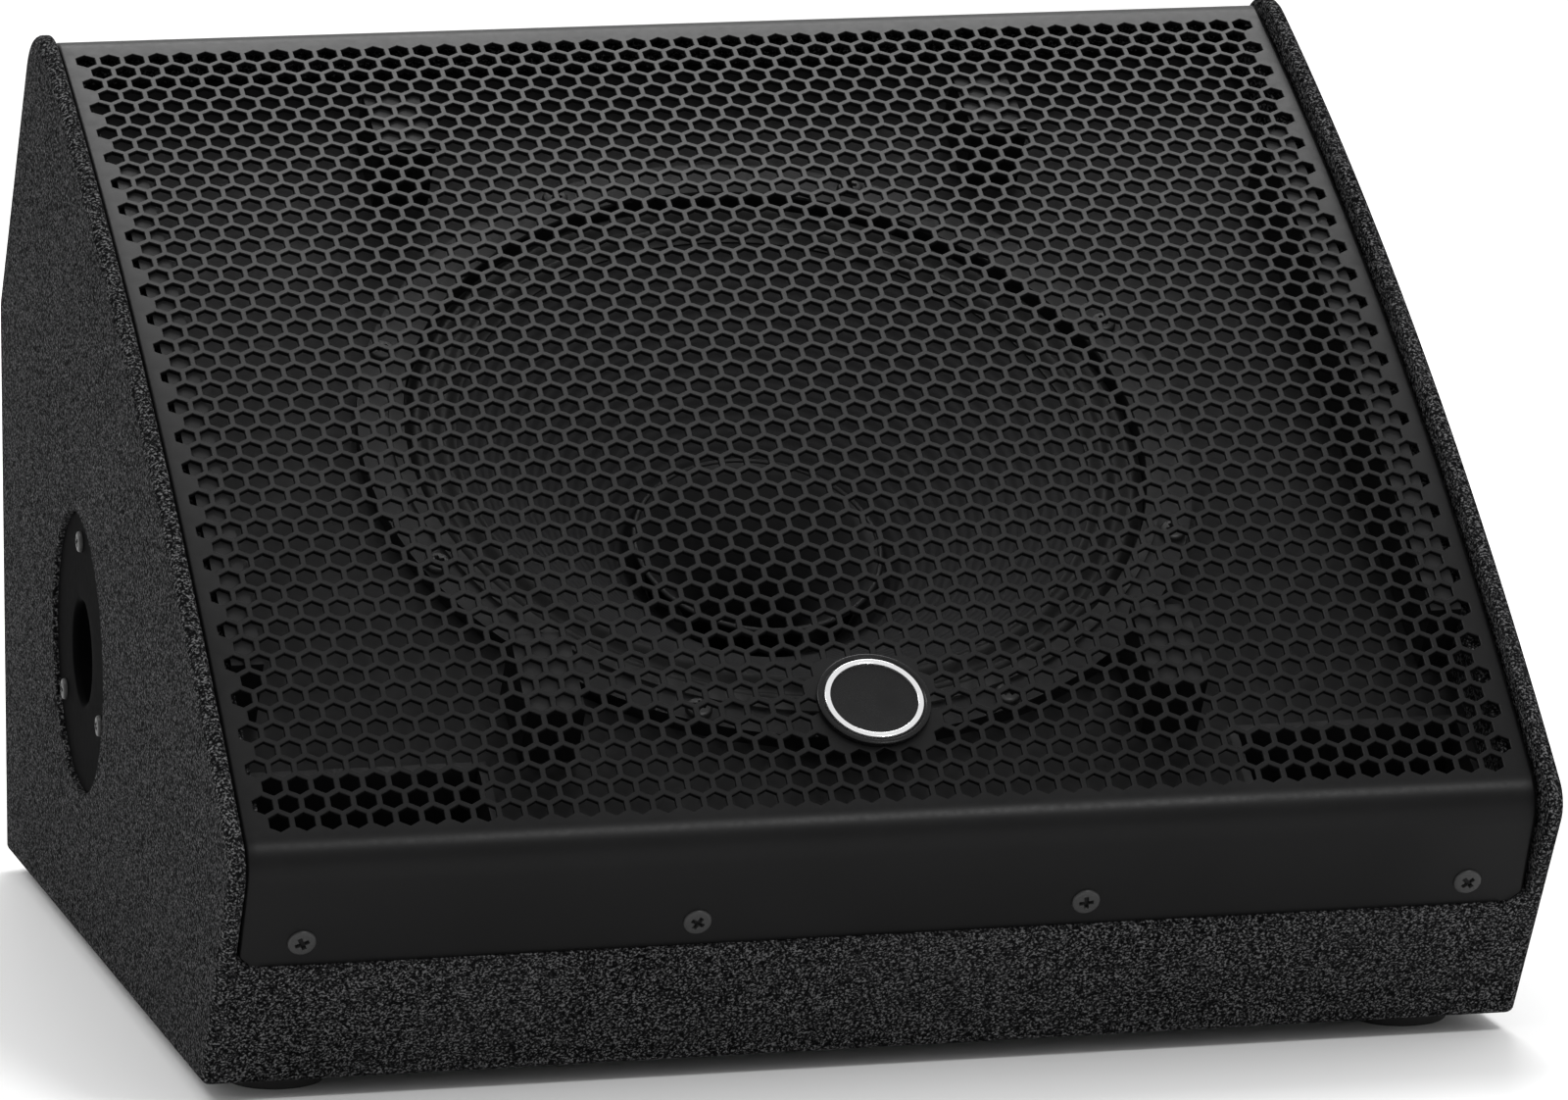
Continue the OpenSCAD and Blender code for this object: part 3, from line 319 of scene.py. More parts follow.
@dataclass
class Shell:
    """Collects points and faces of one piece, then makes it a closed mesh with outward faces."""

    points: list[np.ndarray] = field(default_factory=list)
    faces: list[np.ndarray] = field(default_factory=list)
    count: int = 0

    def add(self, points: np.ndarray, faces: np.ndarray) -> None:
        """Adds points (n, 3) and faces (m, k) that index them.

        Args:
            points: the new points.
            faces: rows of indices, counted from the first new point.
        """
        self.points.append(points.reshape(-1, 3))
        self.faces.append(faces + self.count)
        self.count += len(self.points[-1])

    def grid(self, points: np.ndarray, close_u: bool = False, close_v: bool = False) -> None:
        """Adds the quads of a grid of points (u, v, 3), joined end to start where closed.

        Args:
            points: the grid.
            close_u: whether the last row joins the first.
            close_v: whether the last column joins the first.
        """
        rows, columns = points.shape[:2]
        index = np.arange(rows * columns).reshape(rows, columns)
        u = np.arange(rows if close_u else rows - 1)
        v = np.arange(columns if close_v else columns - 1)
        a = index[u][:, v]
        b = index[(u + 1) % rows][:, v]
        c = index[(u + 1) % rows][:, (v + 1) % columns]
        d = index[u][:, (v + 1) % columns]
        self.add(points, np.stack([a, b, c, d], -1).reshape(-1, 4))

    def revolve(self, profile: Profile, place: Place, segments: int = 96) -> None:
        """Adds a closed ring: each profile point (radius, height) turned about the place's z axis.

        Args:
            profile: the closed profile (radius, height).
            place: the frame whose z axis it turns about.
            segments: number of steps round the axis.
        """
        r, z = np.array(profile, float).T
        angle = np.linspace(0, TURN, segments, endpoint=False)[:, None]
        ring = np.stack([r * np.cos(angle), r * np.sin(angle), z + 0 * angle], -1)
        self.grid(place.out(ring), close_u=True, close_v=True)

    def build(self, name: str, weld: float = 1e-6, smooth: float = SMOOTH_ANGLE) -> bpy.types.Object:
        """Welds the points, closes what is open, turns the faces outwards and makes the object.

        Args:
            name: the piece's name.
            weld: distance under which points become one.
            smooth: the sharpest angle that is still shaded as round.

        Returns:
            The new object, at the origin.
        """
        mesh = bpy.data.meshes.new(name)
        points = np.vstack(self.points)
        faces = [face for block in self.faces for face in block.tolist()]
        mesh.from_pydata(points.tolist(), [], faces)
        work = bmesh.new()
        work.from_mesh(mesh)
        bmesh.ops.remove_doubles(work, verts=work.verts, dist=weld)
        bmesh.ops.dissolve_degenerate(work, edges=work.edges, dist=weld / 10)
        edge = [e for e in work.edges if e.is_boundary]
        if edge:
            bmesh.ops.holes_fill(work, edges=edge, sides=0)
        bmesh.ops.recalc_face_normals(work, faces=work.faces)
        work.to_mesh(mesh)
        work.free()
        mesh.shade_smooth()
        mesh.set_sharp_from_angle(angle=smooth)
        return linked(name, mesh)


def linked(name: str, data: bpy.types.ID) -> bpy.types.Object:
    """Makes an object of a mesh, light or camera and puts it in the scene.

    Args:
        name: the object's name.
        data: what it shows.

    Returns:
        The object.
    """
    made = bpy.data.objects.new(name, data)
    bpy.context.scene.collection.objects.link(made)
    return made


def turned(name: str, profile: Profile, place: Place, segments: int = 96) -> bpy.types.Object:
    """Builds a piece that is one closed profile (radius, height) turned about the place's z axis.

    Args:
        name: the piece's name.
        profile: the closed profile.
        place: the frame whose z axis it turns about.
        segments: number of steps round the axis.

    Returns:
        The piece.
    """
    shell = Shell()
    shell.revolve(profile, place, segments)
    return shell.build(name)


def rounded_profile(corners: Profile, radii: Sequence[float], steps: int = 5) -> np.ndarray:
    """A closed profile with each corner rounded by an arc tangent to its sides.

    Args:
        corners: the sharp corners (radius, height) in order.
        radii: each corner's rounding, 0 for a sharp one.
        steps: number of steps along each arc.

    Returns:
        The profile's points.
    """
    pts = np.array(corners, float)
    out = []
    for i, (p, r) in enumerate(zip(pts, radii)):
        if r > 0:
            out.append(tangent_arc(pts[i - 1], p, pts[(i + 1) % len(pts)], r, steps))
        else:
            out.append(p[None])
    return np.vstack(out)


def rounded_box_ring(w: float, h: float, r: float, steps: int = 6) -> np.ndarray:
    """A rectangle w by h with corners of radius r, as points (x, y) in order round it.

    Args:
        w: width.
        h: height.
        r: radius of the corners.
        steps: number of steps round each corner.

    Returns:
        The points (x, y).
    """
    corner = np.array([[1, 1], [-1, 1], [-1, -1], [1, -1]])
    angle = np.linspace(0, math.pi / 2, steps + 1)
    parts = []
    for i, sign in enumerate(corner):
        turn = angle + i * math.pi / 2
        arc = np.stack([np.cos(turn), np.sin(turn)], 1) * r
        parts.append(arc + sign * (np.array([w, h]) / 2 - r))
    return np.vstack(parts)


def stacked(rings: Sequence[tuple[float, float, float, float]], place: Place) -> np.ndarray:
    """Rounded rectangles one above another, as a grid (ring, point, 3).

    Args:
        rings: (width, height, corner radius, level) of each.
        place: the frame they stand in.

    Returns:
        The grid of points in the object's frame.
    """
    out = []
    for w, h, r, z in rings:
        ring = rounded_box_ring(w, h, max(r, 0.01 * MM))
        out.append(np.hstack([ring, np.full((len(ring), 1), z)]))
    return place.out(np.stack(out))


# ---- Finishes ----------------------------------------------------------------------------------


class Value:
    """A number that changes over a surface: a socket with Python's arithmetic."""

    def __init__(self, graph: "Graph", socket: Socket) -> None:
        """Wraps a socket of a graph."""
        self.graph, self.socket = graph, socket

    def _maths(self, kind: str, a: "Value | float", b: "Value | float") -> "Value":
        """Returns the result of one Math node on a and b."""
        return self.graph.value("ShaderNodeMath", {"operation": kind}, {0: a, 1: b})

    def __add__(self, other: "Value | float") -> "Value":
        """Sum."""
        return self._maths("ADD", self, other)

    def __radd__(self, other: float) -> "Value":
        """Sum, the number first."""
        return self._maths("ADD", other, self)

    def __sub__(self, other: "Value | float") -> "Value":
        """Difference."""
        return self._maths("SUBTRACT", self, other)

    def __rsub__(self, other: float) -> "Value":
        """Difference, the number first."""
        return self._maths("SUBTRACT", other, self)

    def __mul__(self, other: "Value | float") -> "Value":
        """Product."""
        return self._maths("MULTIPLY", self, other)

    def __rmul__(self, other: float) -> "Value":
        """Product, the number first."""
        return self._maths("MULTIPLY", other, self)

    def spread(self, low: float, high: float) -> "Value":
        """The value's own range from low to high, stretched to 0 to 1 and held there."""
        inputs = {"Value": self, 1: low, 2: high, 3: 0.0, 4: 1.0}
        return self.graph.value("ShaderNodeMapRange", {"interpolation_type": "SMOOTHSTEP"}, inputs)


class Graph:
    """The node graph of one material, with the few calls that the finishes use."""

    def __init__(self, name: str) -> None:
        """Starts a material of that name with a Principled shader."""
        self.material = bpy.data.materials.new(name)
        self.material.use_nodes = True
        self.nodes, self.links = self.material.node_tree.nodes, self.material.node_tree.links
        self.shader = self.nodes["Principled BSDF"]

    def give(self, socket: Socket, given: object) -> None:
        """Links a Value or an output to an input socket, or sets the socket to a number or a colour.

        Args:
            socket: the input socket.
            given: what it takes.
        """
        given = given.socket if isinstance(given, Value) else given
        if isinstance(given, Socket):
            self.links.new(given, socket)
        else:
            socket.default_value = (*given, 1) if socket.type == "RGBA" else given

    def node(self, kind: str, settings: dict, inputs: dict) -> bpy.types.Node:
        """Adds a node.

        Args:
            kind: the node's type.
            settings: its properties, set first.
            inputs: value, colour, socket or Value of each input, by name or number.

        Returns:
            The node.
        """
        made = self.nodes.new(kind)
        for key, setting in settings.items():
            setattr(made, key, setting)
        for key, given in inputs.items():
            self.give(made.inputs[key], given)
        return made

    def value(self, kind: str, settings: dict, inputs: dict, output: int | str = 0) -> Value:
        """Adds a node and returns one of its outputs as a Value."""
        return Value(self, self.node(kind, settings, inputs).outputs[output])

    def place(self, stretch: Triple = (1, 1, 1), tip: float = 0.0) -> Socket:
        """Object coordinates, turned by tip about X and stretched along each axis."""
        coords = self.node("ShaderNodeTexCoord", {}, {}).outputs["Object"]
        return self.node("ShaderNodeMapping", {"vector_type": "POINT"}, {
            "Vector": coords, "Rotation": (tip, 0, 0), "Scale": stretch,
        }).outputs["Vector"]

    def noise(
        self, size: float, detail: float = 2.0, rough: float = 0.5, at: Socket | None = None
    ) -> Value:
        """Cloudy noise with features about size metres across, from 0 to 1."""
        inputs = {"Vector": at or self.place(), "Scale": 1 / size, "Detail": detail, "Roughness": rough}
        return self.value("ShaderNodeTexNoise", {}, inputs, "Fac")

    def cells(self, size: float, feature: str = "F1", at: Socket | None = None) -> Value:
        """Distance to the nearest of points scattered size metres apart, 0 at each point.

        Args:
            size: mean distance between the points in metres.
            feature: which distance is measured.
            at: coordinates, or none for the object's own.

        Returns:
            The distance.
        """
        settings = {"feature": feature}
        inputs = {"Vector": at or self.place(), "Scale": 1 / size}
        return self.value("ShaderNodeTexVoronoi", settings, inputs, "Distance")

    def mixed(self, share: "Value | float", a: Colour, b: Colour) -> Socket:
        """A colour between a and b by share.

        Args:
            share: 0 for a and 1 for b.
            a: the first colour.
            b: the second colour.

        Returns:
            The mixed colour.
        """
        made = self.node("ShaderNodeMix", {"data_type": "RGBA"}, {"Factor": share})
        for socket, colour in zip([s for s in made.inputs if s.type == "RGBA"], (a, b)):
            self.give(socket, colour)
        return next(s for s in made.outputs if s.type == "RGBA")

    def bumped(self, height: Value, distance: float, strength: float = 1.0) -> Socket:
        """A normal tilted by a height map that stands distance metres tall."""
        return self.node("ShaderNodeBump", {}, {
            "Height": height, "Distance": distance, "Strength": strength,
        }).outputs["Normal"]

    def finish(self, **inputs: object) -> bpy.types.Material:
        """Sets or links the shader's sockets, named with underscores for blanks, and returns the material.

        Args:
            inputs: what each socket takes.

        Returns:
            The material.
        """
        for key, given in inputs.items():
            self.give(self.shader.inputs[key.replace("_", " ")], given)
        return self.material


class Coat:
    """What every finish shares: it builds its material from the sockets it gives."""

    def material(self) -> bpy.types.Material:
        """Builds the material."""
        g = Graph(self.name)
        return g.finish(**self.sockets(g))


@dataclass(frozen=True)
class TexturedPaint(Coat):
    """Sprayed structure paint: hard rounded grains with finer grit between them, and pale specks painted on
    the grain tops as highlights.
    """

    name: str = "textured_paint"
    low: Colour = (0.0025, 0.0025, 0.0027)
    high: Colour = (0.011, 0.011, 0.0115)
    # tip: colour of the painted highlight specks on the grain tops, which stand in for the paint's glints
    tip: Colour = (0.115, 0.115, 0.117)
    grain: float = 1.15 * MM
    height: float = 0.4 * MM
    grit: float = 0.45 * MM
    # size of the noise that places the painted highlight specks
    painted_glint_size: float = 0.8 * MM
    clouds: float = 60 * MM
    gloss: float = 0.006
    slot: str = "painted_plywood"

    def sockets(self, g: Graph) -> dict[str, object]:
        """Gives the shader's sockets, drawing what varies in the graph.

        Args:
            g: the material's graph.

        Returns:
            Each socket's name and what it takes.
        """
        grains = 1 - g.cells(self.grain, "SMOOTH_F1") * 1.3
        fine = g.noise(self.grit, 3, 0.6)
        broad = g.noise(self.clouds, 3, 0.5)
        surface = grains * 0.75 + fine * 0.45
        tone = surface.spread(0.35, 0.95) * 0.75 + broad.spread(0.3, 0.7) * 0.25
        body = g.mixed(tone, self.low, self.high)
        # painted highlight: pale specks on the grain tops, mixed into the base colour in place of glints
        painted_glint = g.noise(self.painted_glint_size, 2, 0.6).spread(0.47, 0.64) * grains.spread(0.1, 0.6)
        return dict(
            Base_Color=g.mixed(painted_glint, body, self.tip),
            Roughness=0.85 - surface.spread(0.4, 1.0) * 0.25,
            Specular_IOR_Level=self.gloss,
            Normal=g.bumped(surface, self.height),
        )


@dataclass(frozen=True)
class PowderCoat(Coat):
    """Satin powder coat on steel: a fine even orange peel with slight clouding."""

    name: str
    low: Colour
    high: Colour
    rough: float = 0.42
    grain: float = 0.6 * MM
    height: float = 0.012 * MM
    gloss: float = 0.4
    metallic: float = 0.0
    slot: str = "grille_steel"
    clouds: float = 45 * MM
    rubs: float = 3 * MM

    def sockets(self, g: Graph) -> dict[str, object]:
        """Gives the shader's sockets, drawing what varies in the graph.

        Args:
            g: the material's graph.

        Returns:
            Each socket's name and what it takes.
        """
        peel = g.noise(self.grain, 2, 0.5)
        cloud = g.noise(self.clouds, 4, 0.55)
        rub = g.noise(self.rubs, 5, 0.65)
        tone = cloud.spread(0.3, 0.7) * 0.6 + peel.spread(0.3, 0.7) * 0.4
        return dict(
            Base_Color=g.mixed(tone, self.low, self.high),
            Roughness=self.rough + (rub - 0.5) * 0.18 + (cloud - 0.5) * 0.08,
            Metallic=self.metallic,
            Specular_IOR_Level=self.gloss,
            Normal=g.bumped(peel, self.height),
        )


@dataclass(frozen=True)
class MouldedPlastic(Coat):
    """Injection-moulded plastic with a spark-eroded grain and rubbed patches."""

    name: str
    low: Colour
    high: Colour
    rough: float = 0.5
    grain: float = 0.35 * MM
    height: float = 0.02 * MM
    gloss: float = 0.4
    slot: str = "dark_plastic"
    rubs: float = 18 * MM

    def sockets(self, g: Graph) -> dict[str, object]:
        """Gives the shader's sockets, drawing what varies in the graph.

        Args:
            g: the material's graph.

        Returns:
            Each socket's name and what it takes.
        """
        grain = g.cells(self.grain) * 0.7 + g.noise(self.grain * 0.6, 2) * 0.5
        rubbed = g.noise(self.rubs, 5, 0.6).spread(0.45, 0.75)
        return dict(
            Base_Color=g.mixed(rubbed * 0.5 + grain.spread(0.2, 0.9) * 0.5, self.low, self.high),
            Roughness=self.rough - rubbed * 0.12 + (grain - 0.5) * 0.1,
            Specular_IOR_Level=self.gloss,
            Normal=g.bumped(grain, self.height),
        )


@dataclass(frozen=True)
class Metal(Coat):
    """Bare or plated metal with fine scratches along one axis."""

    name: str
    low: Colour
    high: Colour
    rough: float = 0.32
    stretch: Triple = (1, 1, 12)
    slot: str = "zinc_steel"
    scratches: float = 0.9 * MM
    stains: float = 7 * MM

    def sockets(self, g: Graph) -> dict[str, object]:
        """Gives the shader's sockets, drawing what varies in the graph.

        Args:
            g: the material's graph.

        Returns:
            Each socket's name and what it takes.
        """
        lines = g.noise(self.scratches, 4, 0.6, g.place(self.stretch))
        stain = g.noise(self.stains, 4, 0.6)
        return dict(
            Base_Color=g.mixed(stain.spread(0.3, 0.75), self.low, self.high),
            Metallic=1.0,
            Roughness=self.rough + (lines - 0.5) * 0.25 + (stain - 0.5) * 0.15,
            Normal=g.bumped(lines, 0.01 * MM),
        )


@dataclass(frozen=True)
class Soft(Coat):
    """Rubber, cloth, pulp or felt: a dull surface with fibres or grain."""

    name: str
    low: Colour
    high: Colour
    grain: float
    height: float
    rough: float = 0.85
    sheen: float = 0.0
    slot: str = "rubber"
    patches: float = 12 * MM

    def sockets(self, g: Graph) -> dict[str, object]:
        """Gives the shader's sockets, drawing what varies in the graph.

        Args:
            g: the material's graph.

        Returns:
            Each socket's name and what it takes.
        """
        grain = g.noise(self.grain, 4, 0.65)
        patch = g.noise(self.patches, 3, 0.5)
        return dict(
            Base_Color=g.mixed(grain.spread(0.3, 0.7) * 0.7 + patch * 0.3, self.low, self.high),
            Roughness=self.rough + (patch - 0.5) * 0.15,
            Specular_IOR_Level=0.3,
            Sheen_Weight=self.sheen,
            Normal=g.bumped(grain, self.height),
        )


@dataclass(frozen=True)
class Board(Coat):
    """Circuit board: solder mask with a grid of copper tracks under it."""

    name: str = "solder_mask"
    slot: str = "circuit_board"

    def sockets(self, g: Graph) -> dict[str, object]:
        """Gives the shader's sockets, drawing what varies in the graph.

        Args:
            g: the material's graph.

        Returns:
            Each socket's name and what it takes.
        """
        tracks = g.value("ShaderNodeTexWave", {"wave_type": "BANDS", "bands_direction": "Z"}, {
            "Vector": g.place(), "Scale": 60.0, "Distortion": 2.0}, "Fac").spread(0.55, 0.7)
        return dict(
            Base_Color=g.mixed(tracks, (0.01, 0.09, 0.04), (0.03, 0.17, 0.08)),
            Roughness=0.35 + g.noise(4 * MM) * 0.2,
            Normal=g.bumped(tracks, 0.05 * MM),
        )


class Finish(Enum):
    """Every finish that the pieces use."""

    PAINT = TexturedPaint()
    GRILLE = PowderCoat("grille_coat", (0.0022, 0.0022, 0.0023), (0.0036, 0.0036, 0.0038), 0.36, gloss=0.12)
    PANEL = PowderCoat("panel_coat", (0.004, 0.004, 0.0042), (0.009, 0.009, 0.0095), 0.46, gloss=0.2,
        slot="cast_metal")
    SOCKET = PowderCoat("socket_coat", (0.001, 0.001, 0.0011), (0.0024, 0.0024, 0.0025), 0.62, gloss=0.003,
        slot="cast_metal")
    FINS = PowderCoat("fin_anodising", (0.012, 0.012, 0.013), (0.022, 0.022, 0.024), 0.38, 0.3 * MM,
        metallic=0.4, slot="fin_metal")
    PLASTIC = MouldedPlastic("moulded_plastic", (0.006, 0.006, 0.0065), (0.012, 0.012, 0.0125), gloss=0.3)
    BLOCK = MouldedPlastic("block_plastic", (0.004, 0.004, 0.0042), (0.008, 0.008, 0.0083), 0.6, gloss=0.15)
    GLOSS = MouldedPlastic("badge_plastic", (0.002, 0.002, 0.0022), (0.004, 0.004, 0.0042), 0.26,
        height=0.004 * MM, gloss=0.2)
    PALE = MouldedPlastic("pale_plastic", (0.42, 0.42, 0.43), (0.55, 0.55, 0.56), 0.45)
    JACKET = MouldedPlastic("lead_jacket", (0.30, 0.02, 0.02), (0.45, 0.04, 0.03), 0.4, slot="lead_jacket")
    BLACK_STEEL = Metal("blackened_steel", (0.005, 0.005, 0.0052), (0.012, 0.012, 0.0125), 0.4,
        slot="blackened_steel")
    ZINC = Metal("zinc_plate", (0.42, 0.43, 0.46), (0.62, 0.63, 0.66))
    BADGE = Metal("badge_metal", (0.78, 0.78, 0.79), (0.92, 0.92, 0.93), 0.22, slot="badge_metal")
    COPPER = Metal("copper_wire", (0.55, 0.24, 0.10), (0.75, 0.38, 0.18), slot="copper_wire")
    FERRITE = PowderCoat("ferrite", (0.03, 0.03, 0.032), (0.06, 0.06, 0.065), 0.6, slot="ferrite")
    RUBBER = Soft("rubber", (0.003, 0.003, 0.003), (0.008, 0.008, 0.008), 0.5 * MM, 0.03 * MM, 0.7)
    CONE = Soft("cone_pulp", (0.006, 0.006, 0.0065), (0.015, 0.015, 0.016), 0.5 * MM, 0.06 * MM, 0.72,
        slot="cone_paper")
    CLOTH = Soft("doped_cloth", (0.006, 0.006, 0.006), (0.012, 0.012, 0.012), 0.4 * MM, 0.05 * MM, 0.6,
        slot="surround_cloth")
    SPIDER = Soft("spider_cloth", (0.28, 0.17, 0.06), (0.45, 0.3, 0.12), 0.5 * MM, 0.08 * MM, 0.9, 0.2,
        "spider_cloth")
    FELT = Soft("lining_wool", (0.32, 0.32, 0.3), (0.5, 0.5, 0.48), 1.2 * MM, 0.5 * MM, 0.95, 0.3,
        "lining_wool")
    LIGHT = MouldedPlastic("light_lens", (0.04, 0.30, 0.09), (0.08, 0.45, 0.15), 0.2, slot="status_light")
    BOARD = Board()

    def material(self) -> bpy.types.Material:
        """The finish's material, made once."""
        return bpy.data.materials.get(self.value.name) or self.value.material()


CAD_FINISHES: dict[Finish, str] = {
    Finish.PAINT: "bottom_panel rear_panel upper_rear_panel lower_front_panel",
    Finish.PLASTIC: "port_duct_left port_duct_right phase_plug tweeter_cover mains_inlet link_socket"
        " input_socket_a input_socket_b switch_frames power_rocker",
    Finish.BLOCK: "grille_rails grille_spacers baffle",
    Finish.PALE: "contour_slider filter_slider",
    Finish.PANEL: "amp_panel woofer_basket",
    Finish.FINS: "heat_sink",
    Finish.RUBBER: "woofer_gasket",
    Finish.CONE: "coil_former",
    Finish.COPPER: "voice_coil",
    Finish.BLACK_STEEL: "woofer_top_plate pole_piece",
    Finish.ZINC: "level_pots socket_latch_a socket_latch_b tweeter_diaphragm",
    Finish.FERRITE: "woofer_magnet tweeter_magnet",
    Finish.BOARD: "amp_board power_board",
    Finish.LIGHT: "indicator_lights",
    Finish.JACKET: "driver_leads",
    Finish.FELT: "damping_lining",
}


def dress(piece: bpy.types.Object, finish: Finish) -> None:
    """Gives a piece one finish all over."""
    piece.data.materials.clear()
    piece.data.materials.append(finish.material())


def fit(piece: bpy.types.Object, finish: Finish, body: str, *nodes: str) -> bpy.types.Object:
    """Dresses a new piece, lets it ride and hides the CAD nodes that it stands for.

    Args:
        piece: the new piece.
        finish: its finish.
        body: the CAD body it rides on.
        nodes: the CAD nodes that it stands for.

    Returns:
        The piece.
    """
    dress(piece, finish)
    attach(piece, body)
    if nodes:
        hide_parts(*nodes)
    log.info("%s: %d faces", piece.name, len(piece.data.polygons))
    return piece


# ---- Cabinet -----------------------------------------------------------------------------------


@dataclass
class SidePanel:
    """A side panel with rounded edges, a thin lip beside the grille and a recess for its plate."""

    wedge: Wedge
    sign: int
    node: str
    plate_node: str
    lip: float = 6 * MM
    edge_r: float = 3 * MM
    lip_r: float = 1.4 * MM
    pocket: float = 10.5 * MM
    lower_flange: float = 48.3 * MM
    upper_flange: float = 34.3 * MM
    slip: float = 0.3 * MM
    plate_t: float = 3 * MM
    tube_r: float = 23.1 * MM
    dish_corner: float = 14 * MM
    dish_rim: float = 11 * MM
    recess_r: float = 0.8 * MM

    def in_pocket(self, ring: np.ndarray) -> np.ndarray:
        """Tells which points of the outline lie beside the grille, from the flanges' lower ends up.

        Args:
            ring: the outline's points (Y, Z).

        Returns:
            Whether each point does.
        """
        place = self.wedge.front
        away = np.hstack([np.zeros((len(ring), 1)), ring]) - np.array(place.origin)
        y, z = away @ np.array(place.y), away @ np.array(place.z)
        return np.where(y < 0, z > -self.lower_flange, z > -self.upper_flange)

    def hole(self, angle: np.ndarray, grow: float) -> np.ndarray:
        """Distance from the plate's middle to its recess's edge at each angle.

        The left panel's recess is round, the right one's a rounded rectangle met by rays.

        Args:
            angle: the rays' angles.
            grow: amount added to the plate's size all round.

        Returns:
            The distances.
        """
        low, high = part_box(self.plate_node)
        w, h = high.y - low.y, high.z - low.z
        if self.sign < 0:
            return np.full(len(angle), w / 2 + grow)
        ring = rounded_box_ring(w + 2 * grow, h + 2 * grow, self.dish_corner + grow, 10)
        ring = subdivided(ring, 1 * MM)
        turn = np.arctan2(ring[:, 1], ring[:, 0])
        order = np.argsort(turn)
        return np.interp(angle, turn[order], np.hypot(*ring.T)[order], period=TURN)

    def tube(self, angle: np.ndarray) -> np.ndarray:
        """Distance from the plate's middle to the edge of the hole through the panel.

        Args:
            angle: the rays' angles.

        Returns:
            The distances.
        """
        if self.sign < 0:
            return np.full(len(angle), self.tube_r)
        return self.hole(angle, -self.dish_rim + self.slip)

    def build(self) -> bpy.types.Object:
        """Builds the panel as one closed grid.

        Each column is a point of the outline and the ray from the plate's middle through it. Down
        the column the surface runs from the recess over the outer face, round the outer edge,
        across the lip, down into the grille's pocket, over the inner face and back through the hole.

        Returns:
            The panel.
        """
        w = self.wedge
        ring = w.outline()
        normal = ring_normals(ring)
        beside = self.in_pocket(ring)
        low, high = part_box(self.plate_node)
        centre = np.array([(low.y + high.y) / 2, (low.z + high.z) / 2])
        ray = ring - centre
        angle = np.arctan2(ray[:, 1], ray[:, 0])
        ray /= np.linalg.norm(ray, axis=1, keepdims=True)
        outer, inner = w.width / 2, w.width / 2 - w.wall
        rows = []

        def row(at: np.ndarray, x: np.ndarray | float) -> None:
            """Adds one ring of the surface at distance x from the cabinet's middle."""
            rows.append(np.hstack([np.full((len(ring), 1), 0.0) + self.sign * np.reshape(x, (-1, 1)), at]))

        def holed(distance: np.ndarray, x: float) -> None:
            """Adds one ring round the plate's middle."""
            row(centre + ray * distance[:, None], x)

        quarter = np.linspace(0, math.pi / 2, 6)
        for a in quarter[::-1]:
            edge = self.hole(angle, self.slip + self.recess_r * (1 - math.sin(a)))
            holed(edge, outer - self.recess_r * (1 - math.cos(a)))
        for a in quarter:
            row(ring - normal * self.edge_r * (1 - math.sin(a)), outer - self.edge_r * (1 - math.cos(a)))
        end = np.where(beside, outer - self.lip, inner)
        r = np.where(beside, self.lip_r, 0.0)
        for a in quarter:
            row(ring - normal * (r * (1 - math.cos(a)))[:, None], end + r * (1 - math.sin(a)))
        deep = np.where(beside, self.pocket, 0.0)[:, None]
        row(ring - normal * deep, end)
        row(ring - normal * deep, inner)
        holed(self.tube(angle), inner)
        floor = outer - w.plate_sunk - self.plate_t
        holed(self.tube(angle), floor)
        holed(self.hole(angle, self.slip), floor)
        shell = Shell()
        shell.grid(np.stack(rows), close_u=True, close_v=True)
        return fit(shell.build(self.node + "_skin"), Finish.PAINT, "cabinet", self.node)


